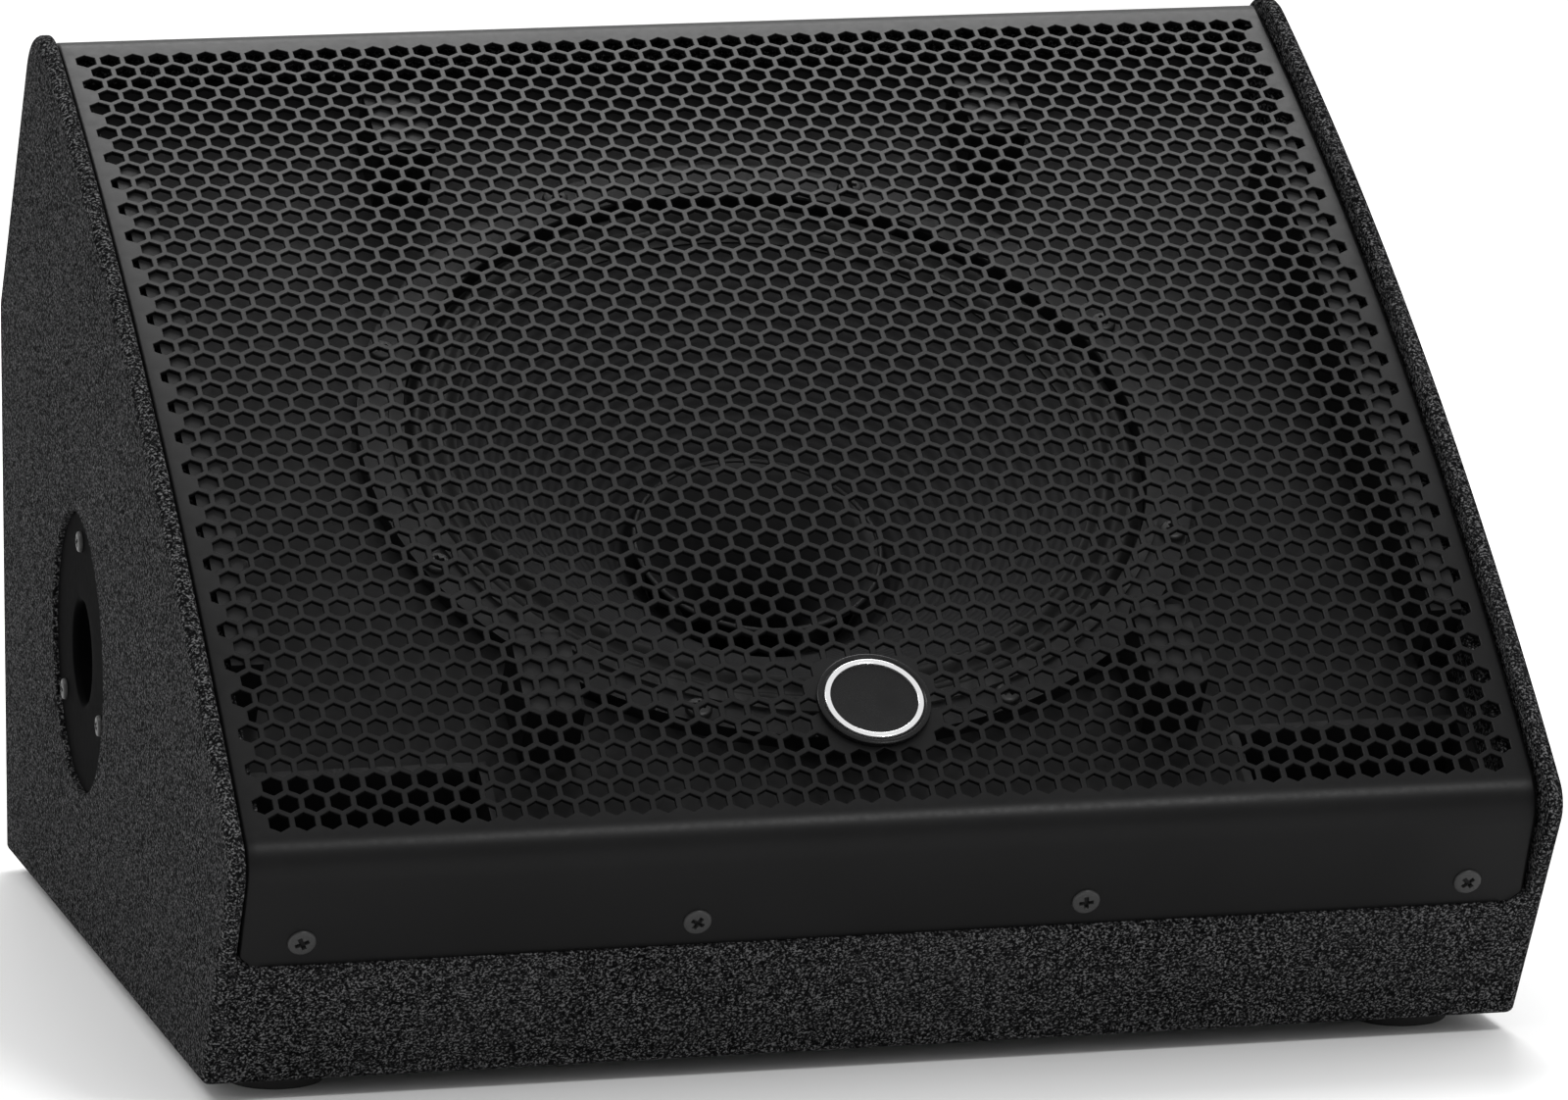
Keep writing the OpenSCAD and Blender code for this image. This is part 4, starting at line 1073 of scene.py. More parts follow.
@dataclass
class Grille:
    """The bowed steel sheet with its hexagonal holes, bends, flanges and rounded side edges."""

    wedge: Wedge
    width: float = 443.6 * MM
    thickness: float = 1.5 * MM
    bend_r: float = 14 * MM
    lower_flange: float = 48 * MM
    upper_flange: float = 34 * MM
    lean: float = math.radians(6.5)
    chamfer: float = 5 * MM
    screw_edge: float = 9.5 * MM
    pitch: float = 8.7 * MM
    hole: float = 6.7 * MM
    first_row: int = -27
    last_row: int = 24
    row_start: float = -12.9 * MM
    rim: float = 0.28 * MM
    badge_down: float = 155 * MM
    badge_clear: float = 21.5 * MM

    @property
    def bow(self) -> float:
        """Radius of the sheet's outer face."""
        return self.wedge.bow_r - self.wedge.grille_inset

    @property
    def side(self) -> float:
        """Distance of the flanges' outer faces from the middle."""
        return self.wedge.half - self.wedge.grille_inset

    @property
    def bend_angle(self) -> float:
        """Angle from the middle at which the bends start."""
        return math.asin((self.side - self.bend_r) / (self.bow - self.bend_r))

    @property
    def bend_start(self) -> float:
        """Arc length from the middle at which the bends start."""
        return self.bow * self.bend_angle

    @property
    def bend_centre_z(self) -> float:
        """Height of the bends' centres in the front frame."""
        return (self.bow - self.bend_r) * math.cos(self.bend_angle) - self.wedge.bow_drop

    def flange(self, up: bool) -> float:
        """Length of a flange, from the face's corner line."""
        return self.upper_flange if up else self.lower_flange

    def bend_end(self, up: bool) -> float:
        """Angle from the middle at which a bend ends: square, less the lean of the lower flange."""
        return math.pi / 2 - (0.0 if up else self.lean)

    def flange_start(self, up: bool) -> float:
        """Arc length from the middle at which a flange starts."""
        return self.bend_start + self.bend_r * (self.bend_end(up) - self.bend_angle)

    def end(self, up: bool) -> float:
        """Arc length from the middle to a flange's free end.

        Args:
            up: whether it is the upper flange.

        Returns:
            The arc length.
        """
        turn = self.bend_end(up)
        drop = self.bend_centre_z + self.bend_r * math.cos(turn) + self.flange(up)
        return self.flange_start(up) + drop / math.sin(turn)

    def seat(self, x: float, up: bool) -> Place:
        """Frame of a screw's seat on a flange, z out of the face, at distance x from the middle.

        Args:
            x: distance to the right of the middle.
            up: whether it is on the upper flange.

        Returns:
            The frame.
        """
        sign, turn = (1, self.bend_end(True)) if up else (-1, self.bend_end(False))
        z = self.screw_edge - self.flange(up)
        drop = self.bend_centre_z + self.bend_r * math.cos(turn) - z
        y = self.side - self.bend_r + self.bend_r * math.sin(turn) + drop / math.tan(turn)
        return self.wedge.front.moved(x=x, y=sign * y, z=z).tipped(-sign * turn)

    def sheet(self, x: np.ndarray, s: np.ndarray, depth: np.ndarray | float) -> np.ndarray:
        """A point of the sheet, from its place across, its arc length up the slope and its depth.

        On the bow the point lies on the circle of the bow's radius less the depth. Round a bend it
        lies on the bend's circle, and along a flange it runs straight on from the bend's end.

        Args:
            x: distance to the right of the middle.
            s: arc length up the slope from the middle, negative down the slope.
            depth: distance below the outer face.

        Returns:
            The points in the object's frame.
        """
        up = s > 0
        turn_end = np.where(up, self.bend_end(True), self.bend_end(False))
        limit = np.where(up, self.end(True), self.end(False))
        away = np.minimum(np.abs(s), limit - np.maximum(0, np.abs(x) - self.width / 2 + self.chamfer))
        bow_a = np.minimum(away / self.bow, self.bend_angle)
        turn = np.clip(self.bend_angle + (away - self.bend_start) / self.bend_r, self.bend_angle, turn_end)
        along = np.maximum(0, away - np.where(up, self.flange_start(True), self.flange_start(False)))
        radius = self.bend_r - depth
        on_bow = away <= self.bend_start
        bend_y = self.side - self.bend_r + radius * np.sin(turn) + along * np.cos(turn_end)
        bend_z = self.bend_centre_z + radius * np.cos(turn) - along * np.sin(turn_end)
        y = np.where(on_bow, (self.bow - depth) * np.sin(bow_a), bend_y)
        z = np.where(on_bow, (self.bow - depth) * np.cos(bow_a) - self.wedge.bow_drop, bend_z)
        return self.wedge.front.out(np.stack([x + 0 * y, np.sign(s) * y, z], -1))

    def lattice(self) -> tuple[np.ndarray, np.ndarray]:
        """Centres of the hexagonal cells that tile the bow.

        Row j lies j steps of pitch times the root of three quarters down the slope, and odd rows
        stand half a pitch aside.

        Returns:
            The centres (x, s) and whether each has a hole.
        """
        rows = np.arange(self.first_row - 2, self.last_row + 3)
        columns = np.arange(-27, 28)
        j, k = (a.ravel() for a in np.meshgrid(rows, columns, indexing="ij"))
        x = (k + 0.5 * (j % 2)) * self.pitch
        s = self.row_start - j * self.pitch * math.sqrt(0.75)
        reach = np.where(j % 2 == 1, 24.6, 24.1) * self.pitch
        holed = (j >= self.first_row) & (j <= self.last_row) & (np.abs(x) < reach)
        badge_s = -self.bow * math.asin(self.badge_down / self.bow)
        holed &= np.hypot(x, s - badge_s) > self.badge_clear
        return np.stack([x, s], 1), holed

    def build(self) -> bpy.types.Object:
        """Builds the sheet: cells over the bow, then bends, flanges and side edges.

        A cell's outer hexagon is shared with its neighbours. A holed cell carries rings inwards to
        a chamfered rim, down the hole's wall and out again at the back. Cells at the border are
        pressed onto it, and the strips take up the border's own points.

        Returns:
            The grille.
        """
        centres, holed = self.lattice()
        border = self.width / 2 - self.thickness
        start = self.bend_start
        turn = np.radians(np.arange(30, 390, 60))
        unit = np.stack([np.cos(turn), np.sin(turn)], 1)
        outer = centres[:, None] + unit * self.pitch / math.sqrt(3)
        outer[..., 0] = np.clip(outer[..., 0], -border, border)
        outer[..., 1] = np.clip(outer[..., 1], -start, start)
        outer = np.round(outer, 7)
        for sign_x, sign_s in ((1, 1), (1, -1), (-1, 1), (-1, -1)):
            corner = np.array([sign_x * border, sign_s * start])
            away = np.linalg.norm(outer - corner, axis=-1)
            nearest = outer[np.unravel_index(away.argmin(), away.shape)].copy()
            outer[np.all(outer == nearest, axis=-1)] = np.round(corner, 7)
        span = outer.max(1) - outer.min(1)
        kept = (span[:, 0] > 0.01 * MM) & (span[:, 1] > 0.01 * MM)
        outer, centres, holed = outer[kept], centres[kept], holed[kept]
        shell = Shell()
        inner = centres[holed][:, None] + unit * self.hole / math.sqrt(3)
        wide = centres[holed][:, None] + unit * (self.hole / math.sqrt(3) + self.rim)
        steps = [(outer[holed], 0.0), (wide, 0.0), (inner, self.rim * 0.8), (inner, self.thickness),
            (outer[holed], self.thickness)]
        rings = np.stack([self.sheet(p[..., 0], p[..., 1], d) for p, d in steps], 1)
        count, levels, sides = rings.shape[:3]
        index = np.arange(count * levels * sides).reshape(count, levels, sides)
        nxt = np.roll(index, -1, axis=2)
        quads = np.stack([index[:, :-1], index[:, 1:], nxt[:, 1:], nxt[:, :-1]], -1)
        shell.add(rings, quads.reshape(-1, 4))
        plain = outer[~holed]
        for depth in (0.0, self.thickness):
            points = self.sheet(plain[..., 0], plain[..., 1], depth)
            shell.add(points, np.arange(points.shape[0] * 6).reshape(-1, 6))
        flat = outer.reshape(-1, 2)
        top_s = np.unique(flat[np.abs(np.abs(flat[:, 0]) - border) < 2e-7][:, 1])
        for up in (True, False):
            sign = 1 if up else -1
            row_x = np.unique(flat[np.abs(flat[:, 1] - sign * start) < 2e-7][:, 0])
            bend = np.linspace(start, self.flange_start(up), 12)
            s = sign * np.concatenate([bend, np.linspace(bend[-1], self.end(up), 5)[1:]])
            for depth in (0.0, self.thickness):
                shell.grid(self.sheet(row_x[None], s[:, None], depth))
            last = np.array([0.0, self.thickness])[:, None]
            shell.grid(self.sheet(row_x[None], np.full((2, 1), s[-1]), last))
            top_s = np.unique(np.round(np.concatenate([top_s, s]), 7))
        quarter = np.linspace(0, math.pi / 2, 6)
        for sign in (-1, 1):
            x = sign * (border + self.thickness * np.append(np.sin(quarter), 0))
            depth = self.thickness * np.append(1 - np.cos(quarter), 1)
            shell.grid(self.sheet(x[None], top_s[:, None], depth[None]))
        log.info("%d holes", int(holed.sum()))
        return fit(shell.build("perforated_grille"), Finish.GRILLE, "cabinet", "grille")


@dataclass
class Badge:
    """A plain round badge: a dished black plate with a bright ring."""

    wedge: Wedge
    down: float = 155 * MM
    plate_r: float = 19.5 * MM
    ring_r: float = 16.85 * MM
    ring_w: float = 1.9 * MM
    thickness: float = 2 * MM

    @property
    def place(self) -> Place:
        """Frame of the badge on the grille's face."""
        bow = self.wedge.bow_r - self.wedge.grille_inset
        turn = math.asin(self.down / bow)
        return self.wedge.front.moved(y=-self.down, z=bow * math.cos(turn) - self.wedge.bow_drop).tipped(turn)

    def build(self) -> None:
        """Builds the plate, with a rounded rim and a shallow dish, and the ring that lies in it."""
        t, r, inner = self.thickness, self.plate_r, self.ring_r - self.ring_w
        dish, low, high = t - 0.5 * MM, t - 0.6 * MM, t + 0.3 * MM
        plate = rounded_profile([(0, 0), (r, 0), (r, t), (r - 1.6 * MM, t), (r - 2.2 * MM, dish), (0, dish)],
            [0, 0, 0.5 * MM, 0.3 * MM, 0.2 * MM, 0])
        fit(turned("badge_plate_dished", plate, self.place), Finish.GLOSS, "cabinet", "badge_plate")
        ring = rounded_profile([(inner, low), (self.ring_r, low), (self.ring_r, high), (inner, high)],
            [0, 0, 0.25 * MM, 0.25 * MM])
        fit(turned("badge_ring_polished", ring, self.place), Finish.BADGE, "cabinet", "badge_ring")


# ---- Screws ------------------------------------------------------------------------------------


@dataclass(frozen=True)
class Screw:
    """A pan-head screw with a cross recess. It bears on z = 0 of its place."""

    head_r: float
    head_h: float
    shank_r: float
    length: float
    recess: float = 1.9 * MM

    def add(self, shell: Shell, place: Place, spin: float) -> None:
        """Adds one screw to a shell.

        The head is a low dome over radius and angle, with a rounded rim. The recess is cut where a
        point lies within a narrow band of either arm and within the arms' reach.

        Args:
            shell: what it is added to.
            place: where it bears.
            spin: angle of the cross.
        """
        rim = [0.66, 0.76, 0.85, 0.91, 0.95, 0.975, 0.99, 1]
        share = np.concatenate([np.linspace(0, 0.56, 19), rim])[None]
        angle = np.linspace(0, TURN, 96, endpoint=False)[:, None]
        r = self.head_r * share
        x, y = r * np.cos(angle), r * np.sin(angle)
        dome = self.head_h * (1 - 0.22 * share**2) * np.sqrt(1 - share**16)
        arm, reach, ramp = 0.11 * self.head_r, 0.5 * self.head_r, 0.045 * self.head_r
        near = np.minimum(np.abs(x), np.abs(y))
        far = np.maximum(np.abs(x), np.abs(y))
        cut = np.clip((arm + ramp - near) / ramp, 0, 1) * np.clip((reach - far) / ramp, 0, 1)
        top = np.stack([x, y, dome - cut * self.recess], -1)
        rings = [(self.head_r, 0), (self.shank_r, 0), (self.shank_r, -self.length)]
        ring_r, ring_z = np.array([*rings, (0, -self.length - self.shank_r)]).T
        under = np.stack([ring_r * np.cos(angle), ring_r * np.sin(angle), ring_z + 0 * angle], -1)
        shell.grid(place.spun(spin).out(np.concatenate([top, under], 1)), close_u=True)


@dataclass
class Screws:
    """Every screw that shows, grouped as the CAD nodes are."""

    wedge: Wedge
    grille: Grille
    grille_screw: Screw = Screw(4.9 * MM, 1.2 * MM, 2.4 * MM, 6.1 * MM)
    small: Screw = Screw(3.8 * MM, 1.6 * MM, 1.9 * MM, 10 * MM)
    wood: Screw = Screw(4.6 * MM, 2.4 * MM, 2.4 * MM, 12 * MM)
    grille_x: float = 201 * MM
    socket_ring: float = 39.5 * MM
    handle_span: tuple[float, float] = (75 * MM, 44.5 * MM)
    driver_ring: float = 140.6 * MM
    driver_seat: float = 6 * MM
    panel_span: tuple[float, float] = (147 * MM, 65 * MM)
    foot_seat: float = 4 * MM

    def group(self, node: str, kind: Screw, places: Sequence[Place]) -> None:
        """Builds one node's screws, each with its cross at its own angle.

        Args:
            node: the CAD node that they stand for.
            kind: their size.
            places: where they bear.
        """
        shell = Shell()
        for i, place in enumerate(places):
            kind.add(shell, place, spin=0.4 + 1.1 * i)
        finish = Finish.ZINC if node == "foot_screws" else Finish.BLACK_STEEL
        fit(shell.build(node + "_headed", weld=1e-7), finish, "cabinet", node)

    @staticmethod
    def ring(place: Place, r: float, degrees: Sequence[float], z: float = 0.0) -> list[Place]:
        """Places on a circle of radius r, at each angle and z above the place."""
        return [place.moved(r * math.cos(a), r * math.sin(a), z) for a in np.radians(degrees)]

    @staticmethod
    def block(place: Place, span: tuple[float, float], columns: Sequence[float] = (-1, 1)) -> list[Place]:
        """Places in two rows, each column at a share of half the span across."""
        return [place.moved(x * span[0], y * span[1]) for x in columns for y in (-1, 1)]

    def build(self) -> None:
        """Builds the screws of the grille, pole socket, handle, driver, amplifier panel and feet."""
        w, four = self.wedge, (-1, -1 / 3, 1 / 3, 1)
        flanges = [self.grille.seat(x * self.grille_x, up) for x in four for up in (False, True)]
        self.group("grille_screws", self.grille_screw, flanges)
        pole, handle = w.side("pole_socket", -1), w.side("handle_dish", 1)
        self.group("pole_socket_screws", self.small, self.ring(pole, self.socket_ring, [90, 210, 330]))
        self.group("handle_screws", self.small, self.block(handle, self.handle_span))
        driver = self.ring(w.driver, self.driver_ring, np.arange(22.5, 360, 45), self.driver_seat)
        self.group("woofer_screws", self.wood, driver)
        self.group("amp_panel_screws", self.small, self.block(w.rear, self.panel_span, four))
        low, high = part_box("foot_screws")
        head = self.wood.head_r
        self.group("foot_screws", self.wood, [Place((x, y, self.foot_seat), (1, 0, 0), (0, -1, 0), (0, 0, -1))
            for x in (low.x + head, high.x - head) for y in (low.y + head, high.y - head)])


# ---- Driver ------------------------------------------------------------------------------------


@dataclass
class Woofer:
    """The parts of the driver that show through the grille."""

    wedge: Wedge
    cone_r: float = 112 * MM
    former_r: float = 38.1 * MM
    neck_z: float = -62 * MM
    ring_inner: float = 130 * MM
    rib: float = 3.2 * MM
    rib_h: float = 0.35 * MM
    horn_r: float = 44.5 * MM
    horn_z: float = -42 * MM
    throat_r: float = 18 * MM
    throat_z: float = -88 * MM
    cone_t: float = 1.7 * MM
    roll_h: float = 3.6 * MM
    cloth_t: float = 0.7 * MM
    spider_r: float = 62.8 * MM
    spider_z: float = -78.2 * MM
    wave_h: float = 1.3 * MM
    waves: int = 5
    spider_t: float = 0.5 * MM

    def cone(self) -> None:
        """Builds the cone: depth follows the share of the radius to the power 0.86, with fine ribs."""
        share = np.linspace(0, 1, 150)
        r = self.former_r + (self.cone_r - self.former_r) * share
        fade = np.clip(np.minimum(share, 1 - share) * 12, 0, 1)
        ribs = self.rib_h * fade * (0.5 + 0.5 * np.cos(TURN * r / self.rib)) - self.rib_h * fade
        z = self.neck_z * (1 - share**0.86)
        front = np.stack([r, z + ribs], 1)
        back = np.stack([r, z - self.cone_t], 1)[::-6]
        piece = turned("ribbed_cone", np.vstack([front, back]), self.wedge.driver, 128)
        fit(piece, Finish.CONE, "cone_assembly", "woofer_cone")

    def surround(self) -> None:
        """Builds the cloth surround with two rolls, bending from the cone to the fixed ring.

        Its height is a squared sine over two waves, and its inner edge starts just inside the cone's rim.
        """
        share = np.linspace(0, 1, 40)
        r = self.cone_r - 1 * MM + (self.ring_inner + 0.5 * MM - self.cone_r) * share
        z = self.roll_h * np.sin(TURN * share) ** 2 + 0.2 * MM
        front = np.stack([r, z], 1)
        sheet = np.vstack([front, (front - [0, self.cloth_t])[::-1]])
        piece = turned("cloth_surround", sheet, self.wedge.driver, 128)
        self.radial_blend(piece, Finish.CLOTH, "woofer_surround", self.ring_inner)

    def spider(self) -> None:
        """Builds the corrugated spider: a sine wave over its radius, fixed at its outer edge."""
        low_r, high_r = self.former_r, self.spider_r
        share = np.linspace(0, 1, 60)
        r = low_r + (high_r - low_r) * share
        z = self.spider_z + self.wave_h * np.sin(TURN * self.waves * share)
        front = np.stack([r, z], 1)
        sheet = np.vstack([front, (front - [0, self.spider_t])[::-1]])
        piece = turned("corrugated_spider", sheet, self.wedge.driver)
        self.radial_blend(piece, Finish.SPIDER, "woofer_spider", high_r)

    def radial_blend(
        self, piece: bpy.types.Object, finish: Finish, node: str, outer: float
    ) -> None:
        """Dresses a ring, hides the CAD node that it stands for and bakes its place into its points.

        Args:
            piece: the ring.
            finish: its finish, which names its slot.
            node: the CAD node that it stands for.
            outer: radius of the ring's outer edge, whose point is worked out but not used.
        """
        place = self.wedge.driver
        dress(piece, finish)
        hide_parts(node)
        edge = tuple(place.out(np.array([outer, 0, 0])))
        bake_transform(piece)
        co = np.empty(len(piece.data.vertices) * 3)
        piece.data.vertices.foreach_get("co", co)
        log.info("%s: %d faces", piece.name, len(piece.data.polygons))

    def horn(self) -> None:
        """Builds the horn: its radius grows with the share of its depth to the power 1.7."""
        share = np.linspace(0, 1, 40)
        t = 2 * MM
        r = self.throat_r + (self.horn_r - self.throat_r - t) * share**1.7
        z = self.throat_z + (self.horn_z - self.throat_z) * share
        inside = np.stack([r, z], 1)
        lip = self.horn_r - t / 2 + t / 2 * np.cos(np.linspace(math.pi, 0, 8))
        rim = np.stack([lip, self.horn_z - t / 2 + t / 2 * np.sin(np.linspace(math.pi, 0, 8))], 1)
        outside = (inside + [t, 0])[::-1]
        piece = turned("flared_horn", np.vstack([inside[:-2], rim, outside[2:]]), self.wedge.driver)
        fit(piece, Finish.PLASTIC, "cabinet", "horn")

    def build(self) -> None:
        """Builds every part."""
        self.cone()
        self.surround()
        self.spider()
        self.horn()


# ---- Fittings ----------------------------------------------------------------------------------


@dataclass
class PoleSocket:
    """The cast pole socket: a round plate, a mouth with a wide lead-in and a deep blind bore."""

    wedge: Wedge
    plate_r: float = 49.5 * MM
    plate_t: float = 3 * MM
    bore_r: float = 17.75 * MM
    mouth: float = 2.5 * MM
    tube_r: float = 22.75 * MM
    depth: float = 82 * MM
    floor_t: float = 4 * MM

    def build(self) -> None:
        """Builds the socket as one turned profile."""
        end = -self.depth - self.floor_t
        lead = np.linspace(0, math.pi / 2, 9)
        mouth = np.stack([self.bore_r + self.mouth * (1 - np.sin(lead)), self.mouth * (np.cos(lead) - 1)], 1)
        outside = rounded_profile([(0, end), (self.tube_r, end), (self.tube_r, -self.plate_t),
            (self.plate_r, -self.plate_t), (self.plate_r, 0), (self.plate_r - 5 * MM, 0)],
            [0, 2 * MM, 0, 0, 0.7 * MM, 0])
        face = [(self.bore_r + self.mouth + 6 * MM, 0)]
        inside = [(self.bore_r, -self.depth), (0, -self.depth)]
        profile = np.vstack([outside, face, mouth, inside])
        piece = turned("pole_socket_turned", profile, self.wedge.side("pole_socket", -1), 128)
        fit(piece, Finish.SOCKET, "cabinet", "pole_socket")


@dataclass
class Handle:
    """The recessed carrying handle in the right side panel."""

    wedge: Wedge
    width: float = 172 * MM
    height: float = 100 * MM
    depth: float = 46 * MM
    rim: float = 11 * MM
    wall: float = 2.5 * MM
    corner: float = 14 * MM
    grip_h: float = 24 * MM
    grip_t: float = 16 * MM

    def build(self) -> None:
        """Builds the dish as stacked rounded rectangles, and the grip as a ribbed bar."""
        place = self.wedge.side("handle_dish", 1)
        w, h, c, t = self.width, self.height, self.corner, self.wall
        iw, ih = w - 2 * self.rim, h - 2 * self.rim
        inner = c - t
        back, middle = -self.depth, (1 * MM, 1 * MM, 0.4 * MM)
        rings = [(w - 1.2 * MM, h - 1.2 * MM, c, 0), (w - 0.3 * MM, h - 0.3 * MM, c, -0.4 * MM),
            (w, h, c, -1 * MM), (w, h, c, -t), (iw, ih, c, -t), (iw, ih, c, back + 4 * MM),
            (iw - 2 * MM, ih - 2 * MM, c, back), (iw - 12 * MM, ih - 12 * MM, inner, back), (*middle, back)]
        cup = [(*middle, back + t), (iw - 16 * MM, ih - 16 * MM, 7 * MM, back + t)]
        for a in np.linspace(0, math.pi / 2, 6):
            short = 1 - math.sin(a)
            cut = 2 * t + 10 * MM * short
            cup.append((iw - cut, ih - cut, inner - 3 * MM * short, back + t + 5 * MM * (1 - math.cos(a))))
        for grow, more, level in ((0, 0, -3 * MM), (1 * MM, 0, -1 * MM), (3 * MM, 1 * MM, 0)):
            cup.append((iw - 2 * t + grow, ih - 2 * t + grow, inner + more, level))
        shell = Shell()
        shell.grid(stacked(rings + cup, place), close_u=True, close_v=True)
        fit(shell.build("handle_dish_moulded"), Finish.PLASTIC, "cabinet", "handle_dish")
        grip = Shell()
        length = iw - 2 * t
        x = np.linspace(-length / 2, length / 2, 121)[:, None]
        ribs = 1 - 0.045 * np.clip(np.cos(TURN * x / (5 * MM)), 0, 1) * (np.abs(x) < length * 0.36)
        ring = rounded_box_ring(self.grip_h, self.grip_t, self.grip_t / 2 - 0.01 * MM, 8)
        y, z = ring[None, :, 0] * ribs, ring[None, :, 1] * ribs
        local = np.stack([x + 0 * y, y, z - self.grip_t / 2 - 1.6 * MM], -1)
        grip.grid(place.out(local), close_v=True)
        fit(grip.build("handle_grip_ribbed"), Finish.RUBBER, "cabinet", "handle_grip")


@dataclass
class Feet:
    """Four rubber feet with rounded rims and a screw well."""

    radius: float = 18 * MM
    height: float = 7 * MM
    well: float = 6.5 * MM
    seat: float = 4 * MM
    bore: float = 2.5 * MM
    taper: float = 1.5 * MM

    def build(self) -> None:
        """Builds the feet as turned rings."""
        low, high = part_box("feet")
        shell = Shell()
        r, h = self.radius, self.height
        corners = [(self.bore, self.seat), (self.well, self.seat), (self.well, 0), (r - self.taper, 0), (r, h),
            (self.bore, h)]
        profile = rounded_profile(corners, [0, 0.5 * MM, 0.8 * MM, 1.6 * MM, 0, 0])
        for x in (low.x + r, high.x - r):
            for y in (low.y + r, high.y - r):
                shell.revolve(profile, Place((x, y, 0), (1, 0, 0), (0, 1, 0), (0, 0, 1)), 72)
        fit(shell.build("rubber_feet"), Finish.RUBBER, "cabinet", "feet")


@dataclass
class Knobs:
    """The two level knobs, ribbed, with a pale pointer line, and the dial marks round them."""

    wedge: Wedge
    radius: float = 7.5 * MM
    floor: float = -22 * MM
    marks: int = 11
    sweep: float = 150
    dial_r: float = 10.6 * MM

    def build(self) -> None:
        """Builds each knob: its radius is a squared cosine of the angle, so that ribs stand round it."""
        for letter in "ab":
            node = "level_knob_" + letter
            low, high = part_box(node)
            place = self.wedge.rear
            x = -(low.x + high.x) / 2
            y = (low.z + high.z) / 2 - place.origin[2]
            here = place.moved(x, y, self.floor)
            angle = np.linspace(0, TURN, 144, endpoint=False)[:, None]
            rib = 1 - 0.06 * (0.5 - 0.5 * np.cos(18 * angle)) ** 2
            rows = np.array([(0, 2.6), (1, 2.6), (1, 3.4), (0.97, 9), (0.93, 12), (0.84, 13.2),
                (0.7, 13.6), (0, 13.6)])
            r = self.radius * rows[:, 0] * np.where((rows[:, 0] > 0.75) & (rows[:, 1] > 3), rib, 1)
            top = np.stack([r * np.cos(angle), r * np.sin(angle), rows[:, 1] * MM + 0 * r], -1)
            shell = Shell()
            shell.grid(here.out(top), close_u=True)
            fit(shell.build(node + "_ribbed"), Finish.PLASTIC, "level_control_" + letter, node)
            line, bar = Shell(), (1.1 * MM, 4.6 * MM, 0.3 * MM)
            levels = [(*bar, 13.4 * MM), (*bar, 13.75 * MM)]
            line.grid(stacked(levels, here.moved(y=4 * MM)), close_v=True)
            fit(line.build("knob_pointer_" + letter), Finish.PALE, "level_control_" + letter)
            dial, dash = Shell(), (0.7 * MM, 2.2 * MM, 0.1 * MM)
            for turn in np.radians(np.linspace(-self.sweep, self.sweep, self.marks)):
                mark = here.spun(-turn).moved(y=self.dial_r)
                dial.grid(stacked([(*dash, -0.3 * MM), (*dash, 0.08 * MM)], mark), close_v=True)
            fit(dial.build("dial_marks_" + letter), Finish.PALE, "cabinet")


# ---- Studio ------------------------------------------------------------------------------------


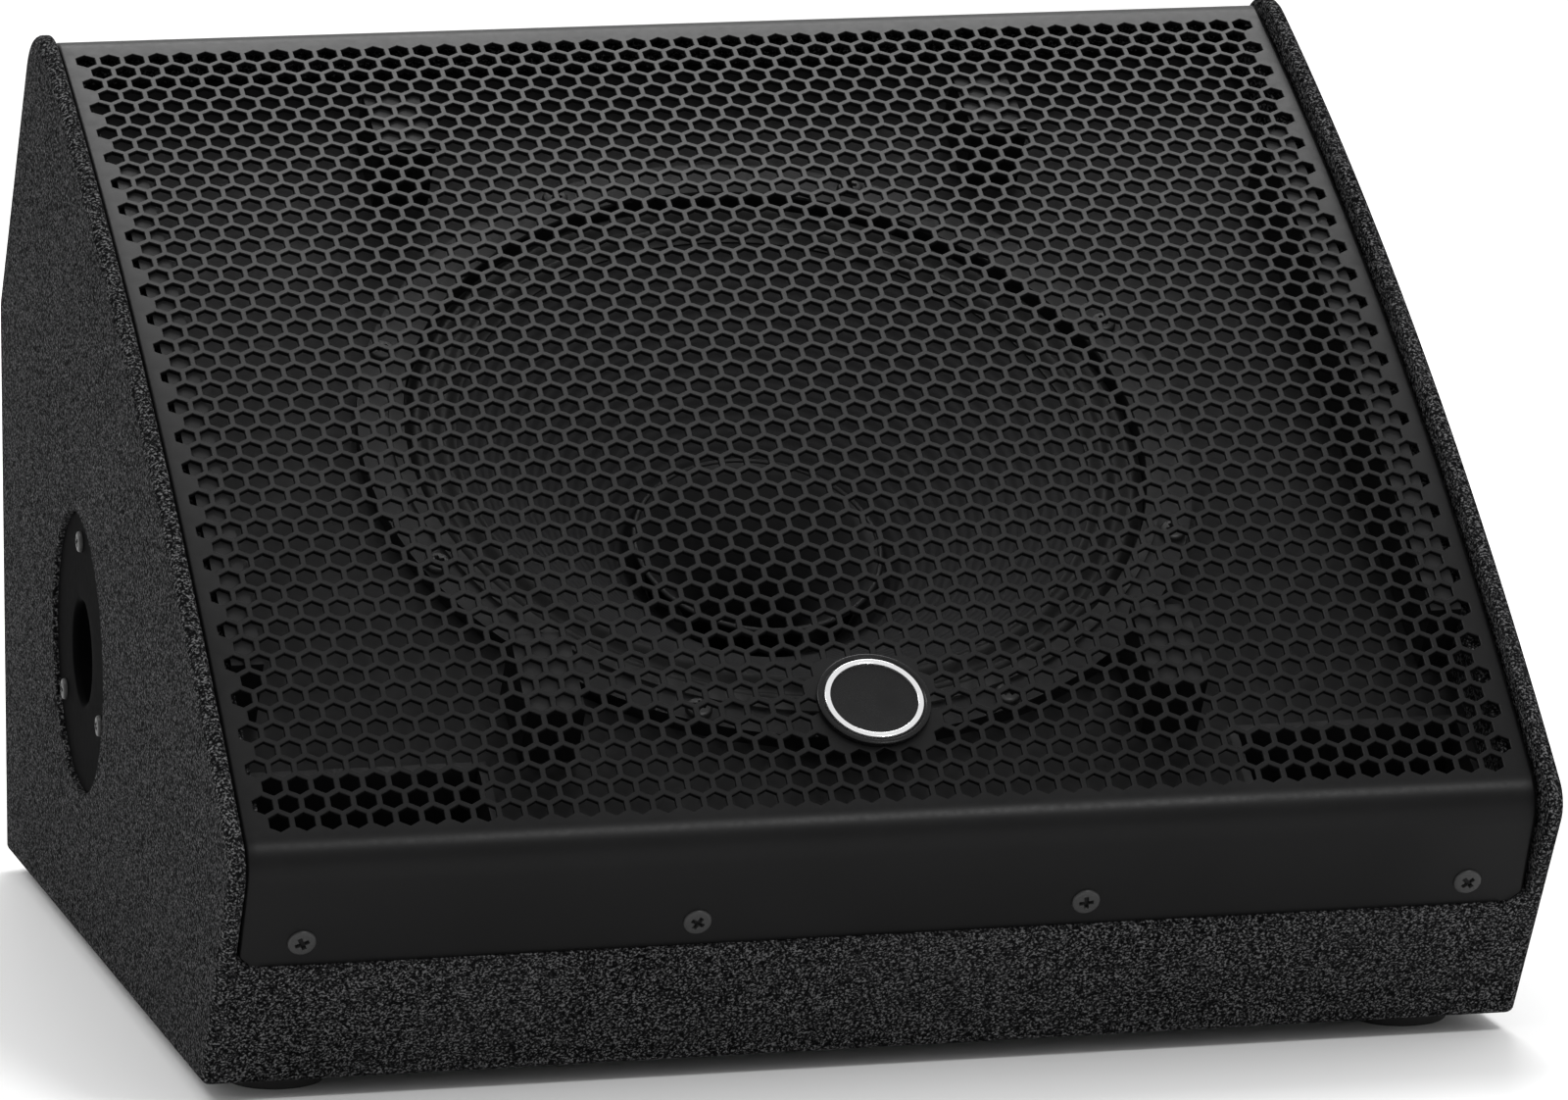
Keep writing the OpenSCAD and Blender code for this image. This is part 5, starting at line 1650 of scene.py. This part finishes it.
@dataclass
class Studio:
    """A pale floor, soft lights and the camera."""

    camera_at: Triple = (-0.8521, -3.4669, 0.8107)
    heading: float = math.radians(13.99)
    dip: float = math.radians(10.51)
    roll: float = math.radians(0.09)
    lens: float = 237.8

    def floor(self) -> None:
        """Builds a floor that turns up far behind the object into a backdrop, as a bent sheet."""
        t = np.linspace(0, 1, 40)
        flat, reach, rise, lift, half_w = 0.6, 9.0, 3.0, 1.6, 12
        bend = (t - flat) / (1 - flat) * math.pi / 2
        y = np.where(t < flat, -reach + 2 * reach * t / flat, reach + rise * np.sin(bend))
        z = np.where(t < flat, 0, rise * (1 - np.cos(bend)) * lift)
        x = np.linspace(-half_w, half_w, 9)
        shell = Shell()
        shell.grid(np.stack(np.broadcast_arrays(x[None], y[:, None], z[:, None]), -1))
        mesh = bpy.data.meshes.new("studio_floor")
        mesh.from_pydata(shell.points[0].tolist(), [], shell.faces[0].tolist())
        mesh.shade_smooth()
        piece = linked("studio_floor", mesh)
        g = Graph("studio_paper")
        colour = g.mixed(g.noise(0.4, 3), (0.88, 0.88, 0.88), (0.91, 0.91, 0.91))
        mesh.materials.append(g.finish(Base_Color=colour, Roughness=0.9, Specular_IOR_Level=0.1))

    def light(self, name: str, at: Triple, size: float, power: float) -> None:
        """Adds a square soft light that faces the object.

        Args:
            name: the light's name.
            at: where it stands.
            size: its side.
            power: its power in watts.
        """
        lamp = bpy.data.lights.new(name, "AREA")
        lamp.energy, lamp.size = power, size
        obj = linked(name, lamp)
        obj.location = at
        obj.rotation_euler = (Vector((0, 0, 0.15)) - Vector(at)).to_track_quat("-Z", "Y").to_euler()

    def camera(self) -> None:
        """Adds the camera: it looks along its heading, dips and rolls a little."""
        cam = bpy.data.cameras.new("camera")
        cam.lens, cam.sensor_width, cam.sensor_fit = self.lens, 36, "HORIZONTAL"
        cam.clip_start, cam.clip_end = 0.1, 60
        obj = linked("camera", cam)
        turn = Matrix.Rotation(-self.heading, 4, "Z") @ Matrix.Rotation(math.pi / 2 - self.dip, 4, "X")
        obj.matrix_world = Matrix.Translation(self.camera_at) @ turn @ Matrix.Rotation(self.roll, 4, "Z")
        bpy.context.scene.camera = obj

    def build(self) -> None:
        """Builds the whole studio."""
        self.floor()
        self.light("back", (0.55, 1.5, 2.5), 1.5, 46)
        self.light("key", (-1.5, 0.4, 2.3), 0.7, 16)
        self.light("fill", (0.8, -2.0, 2.4), 0.5, 30)
        world = bpy.data.worlds.new("studio")
        bpy.context.scene.world = world
        world.use_nodes = True
        sky = world.node_tree.nodes["Background"].inputs
        sky["Color"].default_value, sky["Strength"].default_value = (1, 1, 1, 1), 0.85
        bpy.context.scene.view_settings.view_transform = "Standard"
        self.camera()


def dress_cad() -> None:
    """Gives every CAD node that stays in view its finish."""
    for finish, names in CAD_FINISHES.items():
        for name in names.split():
            dress(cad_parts[name], finish)


def main() -> None:
    """Builds the studio and every piece in order."""
    logging.basicConfig(level=logging.INFO, format="%(name)s: %(message)s")
    wedge = Wedge()
    Studio().build()
    dress_cad()
    SidePanel(wedge, -1, "side_panel_left", "pole_socket").build()
    SidePanel(wedge, 1, "side_panel_right", "handle_dish").build()
    grille = Grille(wedge)
    grille.build()
    Badge(wedge).build()
    Woofer(wedge).build()
    PoleSocket(wedge).build()
    Handle(wedge).build()
    Feet().build()
    Knobs(wedge).build()
    Screws(wedge, grille).build()


if __name__ == "__main__":
    main()
